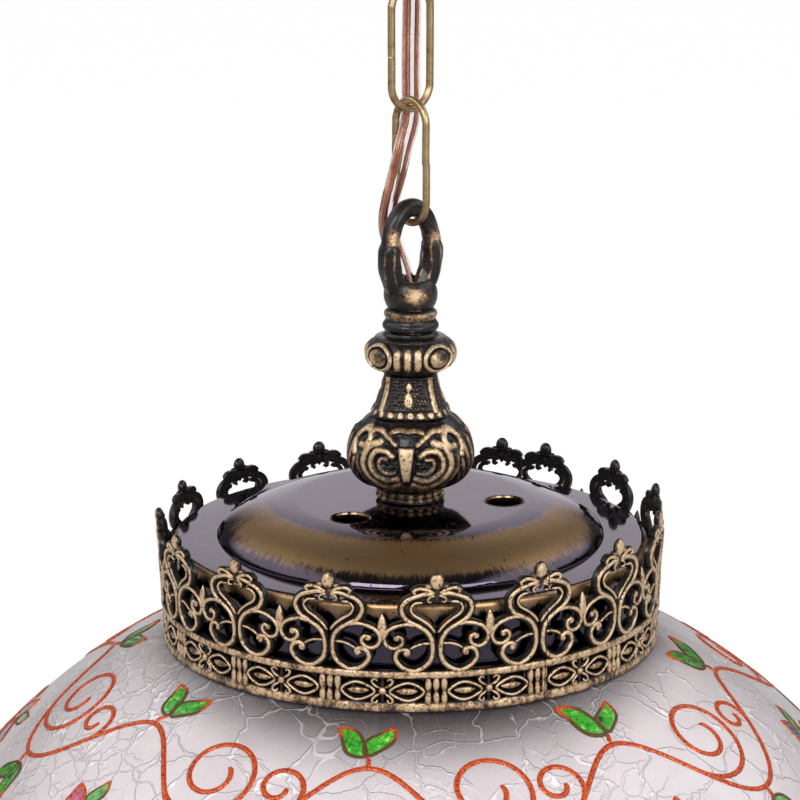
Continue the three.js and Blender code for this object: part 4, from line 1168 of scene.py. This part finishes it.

# %% [markdown]
# The cap is spun from sheet: a flat topped dome, a flat rim with a rolled edge and a skirt.
# It has the stem's black, but as a glossy lacquer, and a brown gold was dusted over the
# dome's shoulder and the edge before the last coat. The gold is made much stronger at the
# front, partly as a painted highlight where the lamps light the cap. The dusting runs down the
# slope and ends raggedly, so its pattern follows the angle round the axis more finely than
# the height.

# %% Cap finish
def lacquered_cap():
    f = Finish("lacquered_cap", Metallic=1.0, Specular_Tint=(1.0, 0.95, 1.0, 1))
    x, y, z = f.node("SeparateXYZ", Vector=f.place).outputs
    flat = f.node("CombineXYZ", X=x, Y=y, Z=0.0).outputs[0]
    heading = f.node("VectorMath", {"operation": "NORMALIZE"}, _0=flat).outputs[0]
    across, ahead, _ = f.node("SeparateXYZ", Vector=heading).outputs
    round_axis = f.node("CombineXYZ", X=across, Y=ahead, Z=f.times(z, 7.0)).outputs[0]
    streaks = f.noise(70, 8, 0.65, at=round_axis)
    patches = f.noise(2.4, 3, 0.5, at=round_axis)
    dusted = f.sum(f.rub(), f.times(streaks, 0.95))
    dusted = f.sum(dusted, f.times(patches, 0.55))
    share = f.fit(dusted, 0.9, 1.5)
    specks = f.fit(f.noise(900, 3, 0.6), 0.665, 0.70)
    ground = f.blend(share, (0.088, 0.074, 0.100), (0.50, 0.31, 0.155))
    f.set("Base Color", f.blend(specks, ground, (0.002, 0.002, 0.002)))
    f.set("Roughness", f.fit(share, 0, 1, 0.07, 0.40))
    f.bump(f.sum(f.noise(55, 2, 0.5), f.times(specks, 0.25)), 0.22, 0.35)
    return f.material


cap_lacquer = lacquered_cap()

# %% [markdown]
# The form is turned together with its inner side. The three vents are punched on the real
# one, and an exact boolean does the same here, which leaves the dome's own points where they
# are. Each vent then gets the small rolled edge that a punch leaves.

# %% Cap
cap_rim = 60.3
skirt_bottom = 3.31
sheet = 0.9                # mm thick
edge_roll = 1.7            # radius of the rolled edge
vent_circle = 24.0
vents = [-38.2, 81.8, 201.8]


def cap_side(inset, steps):
    a = np.linspace(0, math.pi / 2, steps)
    dome = np.column_stack([29 + 20.2 * np.sin(a) ** 1.3, 25.8 + 8.9 * np.cos(a) ** 1.3 - inset])
    b = np.radians(np.linspace(90, 0, 9))
    edge = np.column_stack([cap_rim - edge_roll + (edge_roll - inset) * np.cos(b),
                            24.1 + (edge_roll - inset) * np.sin(b)])
    skirt = np.array([[cap_rim - inset, h] for h in (20, 14, 8, skirt_bottom)])
    return np.vstack([dome, edge, skirt])


def cap_shape():
    outer = cap_side(0, 34)
    inner = cap_side(sheet, 12)[::-1]
    crown = [[5.3, 34.7], [14, 34.7], [22, 34.7]]
    profile = np.vstack([crown, outer, inner, [[5.3, 33.8]]])
    shoulder = np.exp(-((outer[:, 0] - 41.2) / 6.3) ** 4)
    edge = 0.75 * np.exp(-(np.hypot(outer[:, 0] - cap_rim, outer[:, 1] - 24.6) / 1.6) ** 2)
    rub = np.concatenate([np.zeros(3), shoulder, np.zeros(len(inner) + 1)])
    edge = np.concatenate([np.zeros(3), edge, np.zeros(len(inner) + 1)])
    angle = full_turn(224)
    # the dusting, much stronger at the front: partly real gold, partly a painted highlight where
    # the lamps light the cap
    strokes = unit(0.38 + 0.72 * np.cos(angle) + 0.08 * np.cos(5 * angle))
    return turned(profile, 224, rub=np.maximum(rub[None, :] * strokes[:, None], edge[None, :]))


def at_vents(shape):
    turns = [math.radians(azimuth) for azimuth in vents]
    return together([shape.moved(vent_circle * math.sin(a), -vent_circle * math.cos(a))
                     for a in turns])


def with_holes(shape, tools):
    """Cuts the tools out of the shape with one exact boolean and reads the result back."""
    made = []
    for part in (shape, tools):
        thing = bpy.data.objects.new("blank", welded(plain_mesh("blank", part), 1e-4))
        bpy.context.scene.collection.objects.link(thing)
        made.append(thing)
    cut = made[0].modifiers.new("vents", "BOOLEAN")
    cut.operation, cut.solver, cut.object = "DIFFERENCE", "EXACT", made[1]
    state = bpy.context.evaluated_depsgraph_get()
    result = shape_from(bpy.data.meshes.new_from_object(made[0].evaluated_get(state)))
    for thing in made:
        bpy.data.objects.remove(thing)
    return result


vent_tool = turned([[0, 25.9], [4.8, 25.9], [4.8, 37], [0, 37]], 48, closed=False)
rolled = turned([[4.75, 33.5], [5.15, 34.55], [5.3, 34.72], [5.05, 34.86], [4.8, 34.72],
                 [4.62, 34.3]], 48, rub=0.5)
cap = with_holes(cap_shape(), at_vents(vent_tool)) + at_vents(rolled)
piece("cap", cap.moved(z=foot), "lamp", "lacquer", cap_lacquer, "cap_dome", crease=28)

# %% [markdown]
# The globe is one blown bubble, dipped in cold water so that its skin crackled, and frosted.
# The crackle is a crisp net of raised veins and long creases round nearly flat cells, with
# the finest net only in patches. Light comes through the wall from behind, but not near the
# neck, where the cap and its gasket cover the opening. That shade is painted into the glass's
# colour: it darkens towards the gallery, less far out at the sides, and the veins stay a little
# lighter.

# %% Crackled glass
def crackled_glass():
    f = Finish("crackled_glass", IOR=1.5, Coat_Weight=0.5, Coat_Roughness=0.1)
    drift = f.node("TexNoise", Vector=f.place, Scale=46.0, Detail=4.0,
                   Roughness=0.55).outputs["Color"]
    warped = f.node("VectorMath", {"operation": "MULTIPLY_ADD"}, _0=drift,
                    _1=(0.016, 0.016, 0.016), _2=f.place).outputs[0]

    def net(scale, width):
        edge = f.node("TexVoronoi", {"feature": "DISTANCE_TO_EDGE"}, Vector=warped,
                      Scale=scale).outputs["Distance"]
        return f.fit(edge, 0.0, width, 1.0, 0.0)

    def crease(scale, width):
        fold = f.maths("ABSOLUTE", f.maths("SUBTRACT", f.noise(scale, 3, 0.55), 0.5), 0.0)
        return f.fit(fold, 0.0, width, 1.0, 0.0)

    patch = f.fit(f.noise(18, 3), 0.47, 0.58)
    fine = f.times(net(135.0, 0.05), patch)
    coarse = f.times(net(58.0, 0.028), f.fit(f.noise(30, 3), 0.36, 0.48))
    veins = f.maths("MAXIMUM", f.maths("MAXIMUM", coarse, f.times(fine, 0.6)),
                  f.times(crease(20.0, 0.006), 0.7))
    shade = f.fit(f.noise(60, 4, 0.6), 0.3, 0.7)
    ground = f.blend(shade, (0.64, 0.57, 0.59), (0.70, 0.635, 0.655))
    lit = f.blend(f.times(veins, 0.9), ground, (0.92, 0.90, 0.92))
    # painted shade: the glass's colour is darkened near the gallery, less far out at the sides
    x, y, z = f.node("SeparateXYZ", Vector=f.place).outputs
    flat = f.node("CombineXYZ", X=f.times(x, 1.18), Y=y, Z=0.0).outputs[0]
    from_axis = f.node("VectorMath", {"operation": "LENGTH"}, _0=flat).outputs["Value"]
    above = f.fit(z, (foot - 40) * MM, (foot - 30) * MM)
    painted_shade = f.times(f.fit(from_axis, 0.063, 0.086, 1.0, 0.0), above)
    f.set("Base Color", f.blend(f.times(painted_shade, f.fit(veins, 0, 1, 0.96, 0.72)), lit,
                                (0.012, 0.010, 0.014)))
    f.set("Roughness", f.fit(f.noise(90, 4), 0.3, 0.7, 0.2, 0.36))
    f.bump(f.sum(veins, f.times(f.noise(34, 3, 0.5), 0.5)), 0.7, 0.85)
    return f.material


crackle = crackled_glass()

# %% [markdown]
# Glass needs a real wall, or light wouldn't bend in it. So the profile runs from the open
# neck down to the bottom outside and back up inside, and the turned form is closed.

# %% Globe
globe_centre = -math.sqrt(globe_radius ** 2 - lip_radius ** 2)
glass_radius = globe_radius - 0.5
glass_wall = 2.7
neck_radius = 48.0


def globe_shape():
    def ball_profile(radius, rows):
        polar = np.linspace(math.asin(neck_radius / radius), math.pi, rows)
        return np.column_stack([radius * np.sin(polar), globe_centre + radius * np.cos(polar)])

    outside, inside = ball_profile(glass_radius, 120), ball_profile(glass_radius - glass_wall, 48)
    return turned(np.vstack([outside, inside[::-1]]), 200)


piece("globe", globe_shape().moved(z=foot), "lamp", "glass", crackle, "glass_globe", crease=30)
print("glass outside", 2 * glass_radius, "mm, wall", glass_wall, "mm")

# %% [markdown]
# The decoration is painted in relief: contour paste with glitter for the scrolls, and thick
# enamel for leaves and petals, each inside its own contour. It is a garden of vine scrolls
# and plain pointed flowers, laid out afresh here. Places on the glass are given as a spot,
# by azimuth and polar angle, and then millimetres to the right and down from it.

# %% Places on the glass
def outward_at(azimuth, polar):
    a, p = np.radians(azimuth), np.radians(polar)
    return np.stack([np.sin(a) * np.sin(p), -np.cos(a) * np.sin(p), np.cos(p)], -1)


def right_and_down(out):
    right = np.stack([-out[..., 1], out[..., 0], 0 * out[..., 0]], -1)
    right /= np.linalg.norm(right, axis=-1)[..., None]
    return right, np.cross(right, out)


def near(azimuth, polar, s, t):
    """Outward directions s mm to the right and t mm down from a spot on the glass."""
    out = outward_at(azimuth, polar)
    right, down = right_and_down(out)
    s, t = np.asarray(s, float), np.asarray(t, float)
    far = np.maximum(np.hypot(s, t), 1e-6)
    way = (s / far)[..., None] * right + (t / far)[..., None] * down
    angle = (far / glass_radius)[..., None]
    return np.cos(angle) * out + np.sin(angle) * way


def on_glass(out, height=0.0):
    return out * (glass_radius + height) + np.array([0, 0, globe_centre])


# %% [markdown]
# The paste is squeezed from a cone, so a line is a low half round with rounded ends. Lines
# are gathered first, and leaves and petals only noted as places, so that each kind becomes
# one piece at the end.

# %% Painted lines
line_half_width = 0.7
line_height = 0.42


def painted_line(out, width=1.0, closed=False):
    """A line of contour paste, a low half round laid along outward directions."""
    angle = np.radians([-25, 12, 50, 90, 130, 168, 205])
    section = np.column_stack([line_height * np.sin(angle),
                               line_half_width * width * np.cos(angle)])
    place = on_glass(out)
    scale = 1.0 if closed else rounded_ends(place, 1.2, 0.35)
    return led_along(place, section, out, closed, scale, rub=1.0)


def curl(start, heading, radius, turns, side, tight=0.25):
    """A spiral that sets out along a heading, in degrees, and turns ever tighter to a side."""
    steps = int(turns * 38)
    share = np.arange(steps) / steps
    heading = math.radians(heading) + side * np.arange(steps) * 2 * math.pi / 38
    stride = radius * (1 - (1 - tight) * share ** 0.85) * 2 * math.pi / 38
    s = start[0] + np.cumsum(stride * np.cos(heading))
    t = start[1] + np.cumsum(stride * np.sin(heading))
    return np.column_stack([np.r_[start[0], s], np.r_[start[1], t]])


lines, leaf_spots, petal_spots = [], [], {"magenta": [], "teal": []}


def draw(azimuth, polar, points, width=1.0):
    points = np.asarray(points, float)
    lines.append(painted_line(near(azimuth, polar, points[:, 0], points[:, 1]), width))


def put(spots, azimuth, polar, s, t, heading, size):
    """Notes a leaf or petal: its root on the glass, its heading in degrees and its length."""
    spots.append((near(azimuth, polar, s, t), heading, size))


# %% [markdown]
# A painter divides the globe evenly and then works freehand. So a vine runs round in even
# waves, and a small chance, from a fixed seed, varies its spirals and leaves.

# %% Vine rows near the top and the bottom, with a spiral in every bend
rng = np.random.default_rng(7)


def vine_row(polar, swing, count, first, leaf_size):
    azimuth = np.arange(360.0)
    wave = polar - swing * np.cos(np.radians(count * (azimuth - first)))
    lines.append(painted_line(outward_at(azimuth, wave), closed=True))
    span = math.sin(math.radians(polar)) * glass_radius * 2 * math.pi / count
    steepest = math.degrees(math.atan(2 * math.pi * math.radians(swing) * glass_radius / span))
    quarter = 90 / count
    for k in range(count):
        crest = first + 360 * k / count
        radius = span * (0.19 + 0.012 * rng.uniform(-1, 1))
        draw(crest + quarter, polar, curl((0, 0), steepest, radius, 1.5 + 0.1 * rng.uniform(), -1))
        draw(crest - quarter, polar, curl((0, 0), -steepest, radius * 0.5, 1.2, -1))
        for side, at in ((-1, crest), (1, crest + 2 * quarter)):
            height = polar + side * swing
            lean = rng.uniform(-8, 8)
            tip = [0.35 * lean, side * 3.4]
            draw(at, height, [[-0.6, 0], [-0.3, side * 1.2], [0.1 * lean, side * 2.3], tip], 0.9)
            for spread in (-38, 34):
                put(leaf_spots, at, height, tip[0], tip[1], side * 90 + spread + lean,
                    leaf_size * rng.uniform(0.85, 1.1))


vine_row(36.5, 5.0, 8, -52.0, 12.0)
vine_row(150.0, 3.6, 6, -22.0, 9.5)


# %% [markdown]
# Between the vines stand five rows of eight flowers, magenta and teal in turn, each row
# shifted against the next, with one more flower at the very bottom.

# %% Flower rows round the middle, each flower with a scroll at either side
def flower(colour, azimuth, polar, petals, length, turn):
    for k in range(petals):
        heading = turn + 360 * k / petals
        h = math.radians(heading)
        put(petal_spots[colour], azimuth, polar, 2.6 * math.cos(h), 2.6 * math.sin(h), heading,
            length * rng.uniform(0.93, 1.04))
        between = math.radians(heading + 180 / petals)
        if k % 2 == 0:
            put(leaf_spots, azimuth, polar, 9.5 * math.cos(between), 9.5 * math.sin(between),
                math.degrees(between), length * 0.8 * rng.uniform(0.9, 1.1))
    ring = np.radians(np.arange(14) * 360 / 14)
    draw(azimuth, polar, np.column_stack([1.5 * np.cos(ring), 1.5 * np.sin(ring)]), 1.3)


def flower_row(polar, first, petals, length, start_colour, scrolls=True):
    count = 8
    for k in range(count):
        azimuth = first + 360 * k / count
        colour = ("magenta", "teal")[(k + start_colour) % 2]
        flower(colour, azimuth, polar, petals, length, rng.uniform(0, 360 / petals))
        if scrolls:
            for side in (-1, 1):
                start = (side * 12, -side)
                draw(azimuth, polar, curl(start, 145 - side * 90, 11.5, 1.45, -1))
                put(leaf_spots, azimuth, polar, side * 27, side * 3.2, 145 - side * 90, 11)
                put(leaf_spots, azimuth, polar, side * 33.5, -side * 8, 90 - side * 115, 10)


flower_row(45.5, -52.0, 6, 12.5, 0, scrolls=False)
flower_row(63.0, -29.5, 6, 13.0, 1)
flower_row(84.5, -52.0, 7, 15.0, 1)
flower_row(106.5, -29.5, 7, 14.0, 0)
flower_row(128.0, -52.0, 6, 12.0, 0)
flower("magenta", 0, 179.5, 8, 14.0, 0)


# %% [markdown]
# Enamel stands domed inside its contour and sags along the middle as it dries. One pool of
# unit length is modelled for leaves and one for petals, and Geometry Nodes repeat them with
# the size and heading of each place. The enamel is glossy with fine cracks, the paste full of
# glitter.

# %% Leaves and petals, each an enamel pool inside its contour
def pool(wide, hollow, size, count=15):
    """A domed pool of unit length along X, creased down its middle and bent to the glass."""
    t = np.linspace(0, 1, count)
    half = wide * np.sin(math.pi * t ** 0.85) ** 0.8 + 0.01
    across = np.linspace(-1, 1, 9)
    dome = (1 - across ** 2) ** 0.5 * (1 - hollow * np.exp(-(across / 0.22) ** 2))
    lift = 0.026 * np.sin(math.pi * t) ** 0.5
    bend = 0.05 * np.sin(2 * math.pi * t)
    top = np.stack([np.repeat(t[:, None], 9, 1), half[:, None] * across + bend[:, None],
                    lift[:, None] * dome], -1)
    under = top[:, ::-1].copy()
    under[..., 2] = -0.03
    net = np.concatenate([top, under], 1)
    net[..., 2] -= size / (2 * glass_radius) * (net[..., 0] ** 2 + net[..., 1] ** 2)
    return grid_shape(net, wrap_columns=True, capped=True)


def contour(wide, size, count=17):
    t = np.concatenate([np.linspace(0.02, 1, count), np.linspace(1, 0.02, count)[1:-1]])
    side = np.r_[np.ones(count), -np.ones(count - 2)]
    across = side * wide * np.sin(math.pi * t ** 0.85) ** 0.8 + 0.05 * np.sin(2 * math.pi * t)
    line = np.column_stack([t, across, 0.004 - size / (2 * glass_radius) * t ** 2])
    return led_along(line, oval(0.023, 0.045, 7), (0, 0, 1), closed=True, rub=t[:, None] ** 1.5)


def laid_on_glass(part, spots, seed):
    out = np.array([spot[0] for spot in spots])
    heading = np.radians([spot[1] for spot in spots])[:, None]
    right, down = right_and_down(out)
    along = np.cos(heading) * right + np.sin(heading) * down
    turns = [Matrix((x, np.cross(z, x), z)).transposed().to_euler() for x, z in zip(along, out)]
    return repeated(part, on_glass(out), crackle, turns, [spot[2] for spot in spots], 0.03, seed)


def enamel(name, dark, body, light):
    f = Finish(name, Coat_Weight=1.0, Coat_Roughness=0.03, IOR=1.52)
    pools = f.noise(330, 3, 0.6)
    colour = f.colours(pools, [(0.3, dark), (0.44, body), (0.56, body), (0.68, light)])
    edge = f.node("TexVoronoi", {"feature": "DISTANCE_TO_EDGE"}, Vector=f.place, Scale=360.0)
    cracks = f.fit(edge.outputs["Distance"], 0.0, 0.07, 1.0, 0.0)
    f.set("Base Color", f.blend(f.times(cracks, 0.75), colour, dark))
    f.set("Roughness", f.fit(f.noise(500, 2), 0.3, 0.7, 0.12, 0.3))
    f.bump(f.maths("SUBTRACT", f.noise(420, 3, 0.6), f.times(cracks, 0.4)), 0.25, 0.7)
    return f.material


def contour_paste():
    f = Finish("contour_paste", IOR=1.5)
    grain = f.noise(2100, 3, 0.7)
    glitter = f.colours(grain, [(0.38, (0.17, 0.008, 0.004)), (0.5, (0.50, 0.034, 0.006)),
                                (0.62, (0.95, 0.24, 0.03))])
    bronze = f.colours(grain, [(0.36, (0.030, 0.016, 0.008)), (0.64, (0.20, 0.10, 0.03))])
    f.set("Base Color", f.blend(f.fit(f.rub(), 0.5, 0.8), bronze, glitter))
    f.set("Metallic", f.fit(grain, 0.5, 0.66, 0.0, 0.6))
    f.set("Roughness", f.fit(grain, 0.4, 0.62, 0.5, 0.22))
    f.bump(grain, 0.12, 0.8)
    return f.material


paste = contour_paste()
green = enamel("green_enamel", (0.004, 0.07, 0.008), (0.045, 0.40, 0.02), (0.26, 0.80, 0.12))
magenta = enamel("magenta_enamel", (0.20, 0.001, 0.03), (0.52, 0.006, 0.12), (0.86, 0.16, 0.36))
teal = enamel("teal_enamel", (0.002, 0.07, 0.10), (0.01, 0.26, 0.33), (0.16, 0.62, 0.66))

leaf, petal = pool(0.22, 0.5, 11.0), pool(0.26, 0.35, 13.5)
petal_line = contour(0.26, 13.5)
petal_line.rub = np.ones(len(petal_line.rub))
painted = [("painted_scrolls", together(lines), paste),
           ("painted_leaves", laid_on_glass(leaf, leaf_spots, 3), green),
           ("painted_leaf_contours", laid_on_glass(contour(0.22, 11.0), leaf_spots, 3), paste)]
for seed, (colour, finish) in enumerate((("magenta", magenta), ("teal", teal)), 4):
    spots = petal_spots[colour]
    painted.append((f"painted_{colour}_petals", laid_on_glass(petal, spots, seed), finish))
    painted.append((f"painted_{colour}_contours", laid_on_glass(petal_line, spots, seed), paste))
for name, shape, finish in painted:
    piece(name, shape.moved(z=foot), "lamp", "glass", finish, crease=50)
    far = np.linalg.norm(shape.points - np.array([0, 0, globe_centre]), axis=1).max()
    print(f"  reaches {far:.2f} mm from the globe's centre")

# %% [markdown]
# The ceiling end isn't in the photograph. It has what such a lamp has: a spun dish in the
# stem's finish, a rubber grommet where the flex leaves it, and a brass hub with an open hook
# that carries the upper link.

# %% Canopy
canopy_rim, canopy_flat, canopy_drop = 45.0, 21.0, 36.5
grommet_at = (0.5, 14.0)


def canopy_shape():
    a = np.linspace(0, math.pi / 2, 40)
    across = canopy_flat + (canopy_rim - canopy_flat) * np.sin(a)
    up = -canopy_drop + (canopy_drop - 0.3) * (1 - np.cos(a))
    outside = np.column_stack([across, up])
    inside = outside - np.column_stack([np.sin(a), -np.cos(a)]) * 1.0
    inside[-1, 1] = outside[-1, 1]
    profile = np.vstack([[[5.3, -canopy_drop]], outside, inside[::-1], [[5.3, -canopy_drop + 1]]])
    worn = np.exp(-((profile[:, 1] + canopy_drop - 2.5) / 2.5) ** 2) * 0.5
    worn = worn + 0.9 * np.exp(-((profile[:, 1] + 0.6) / 0.9) ** 2)
    return turned(profile, 180, rub=worn[None, :])


flex_hole = turned([[0, -40], [4.3, -40], [4.3, -33], [0, -33]], 48, closed=False)
canopy = with_holes(canopy_shape(), flex_hole.moved(*grommet_at))
piece("canopy", canopy, "ceiling_mount", "antique", antique, "canopy_cover", crease=28)

# %% [markdown]
# The hub screws on the nipple under the canopy. Its hook is thicker wire than the links and
# stays open at one side, so that the link can be hung in. A turned hub and a section led
# along the bend are all it takes.

# %% Hook
hub_top, hub_low, hook_radius = -36.8, -42.0, 5.5
hook_middle = -48.2


def hook_shape():
    hub = turned([[0, hub_low], [3.6, hub_low], [5.2, hub_low + 0.3], [7.7, hub_low + 2.0],
                  [8, hub_low + 2.6], [8, hub_top - 0.3], [7.7, hub_top], [5.3, hub_top],
                  [5.3, -41.0], [0, -41.0]], 72, closed=False)
    bend = np.radians(np.arange(50, -216, -26.5))
    route = np.column_stack([hook_radius * np.cos(bend), 0 * bend,
                             hook_middle + hook_radius * np.sin(bend)])
    route = np.vstack([[[0, 0, hub_low + 0.9], [0.9, 0, hub_low - 0.6]], route])
    line = through(route, 120)
    wire_end = np.ones(120)
    wire_end[-4:] = (0.97, 0.9, 0.78, 0.5)
    return hub + led_along(line, oval(1.25, 1.25, 18), (0, 1, 0), scale=wire_end)


piece("hook", hook_shape().turned_by(link_turn - 90), "ceiling_mount", "brass", wire, "canopy_hook")

# %% [markdown]
# The flex runs on inside the stem to the lamp holder. It is the same twin section, only it
# rides with the lamp and never bends.

# %% Flex in the stem
stem_route = through([(-0.6, 0.3, -129.7), (-0.35, 0.1, -138.5), (0, 0, -150.5), (0, 0, -195.9),
                      (0, 0, -246.5)], 60)
stem_sheath = piece("cord_in_stem_sheath", led_along(stem_route, twin_section(), along_link),
                    "lamp", "cable", sheath_finish, "cord_in_stem")
stem_face = directions(stem_route, along_link)[1]
core_pair = together([led_along(stem_route + side * core_offset * stem_face,
                                oval(0.6, 0.6, 12), along_link) for side in (-1, 1)])
stem_cores = piece("cord_in_stem_cores", core_pair, "lamp", "cable", copper)
note_cord("cord_in_stem", stem_route)

# %% [markdown]
# The fittings that carry the lamp keep their CAD shape: plate, screws, stem tube, nuts and
# washers, clamp bar and pads, holder and bulb. Most are hidden inside, so they need the right
# material rather than finer meshes.

# %% Finishes of the fittings
def zinc_plate():
    f = Finish("zinc_plate", Metallic=1.0)
    spangle = f.node("TexVoronoi", Vector=f.place, Scale=700.0).outputs["Distance"]
    f.set("Base Color", f.colours(spangle, [(0.0, (0.50, 0.51, 0.54)), (1.0, (0.74, 0.75, 0.77))]))
    f.set("Roughness", f.fit(f.noise(900, 4), 0.3, 0.7, 0.28, 0.48))
    f.bump(f.noise(1600, 3), 0.03, 0.5)
    return f.material


def moulded(name, colours, roughness, scale, **constants):
    f = Finish(name, **constants)
    flow = f.noise(scale, 4)
    f.set("Base Color", f.colours(flow, [(0.3, colours[0]), (0.7, colours[1])]))
    f.set("Roughness", f.fit(f.noise(scale * 2.3, 3), 0.3, 0.7, *roughness))
    f.bump(f.noise(scale * 3, 3), 0.04, 0.4)
    return f.material


fitting_finishes = {
    "zinc": zinc_plate(),
    "rubber": moulded("black_rubber", ((0.010, 0.010, 0.011), (0.022, 0.022, 0.024)),
                      (0.6, 0.8), 500),
    "bakelite": moulded("brown_bakelite", ((0.010, 0.006, 0.005), (0.030, 0.018, 0.014)),
                        (0.18, 0.32), 120, Coat_Weight=0.4),
    "porcelain": moulded("glazed_porcelain", ((0.76, 0.74, 0.68), (0.84, 0.83, 0.79)),
                         (0.08, 0.2), 90, Coat_Weight=0.8),
    "opal": moulded("opal_glass", ((0.84, 0.83, 0.80), (0.90, 0.89, 0.87)), (0.3, 0.45), 200),
    "antique": antique, "brass": wire, "lacquer": cap_lacquer, "glass": crackle,
    "cable": sheath_finish,
}
for name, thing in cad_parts.items():
    for slot in thing.material_slots:
        slot.material = fitting_finishes[slot.material.name.split(".")[0]]
print(len(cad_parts), "CAD nodes have a finish")

# %% [markdown]
# The last step prints the box of the CAD model. The dressed model may be a little smaller
# than it, never larger.

# %% Size of the CAD model
print("CAD box mm", [round(v / MM, 1) for v in (*cad_low, *cad_high)])
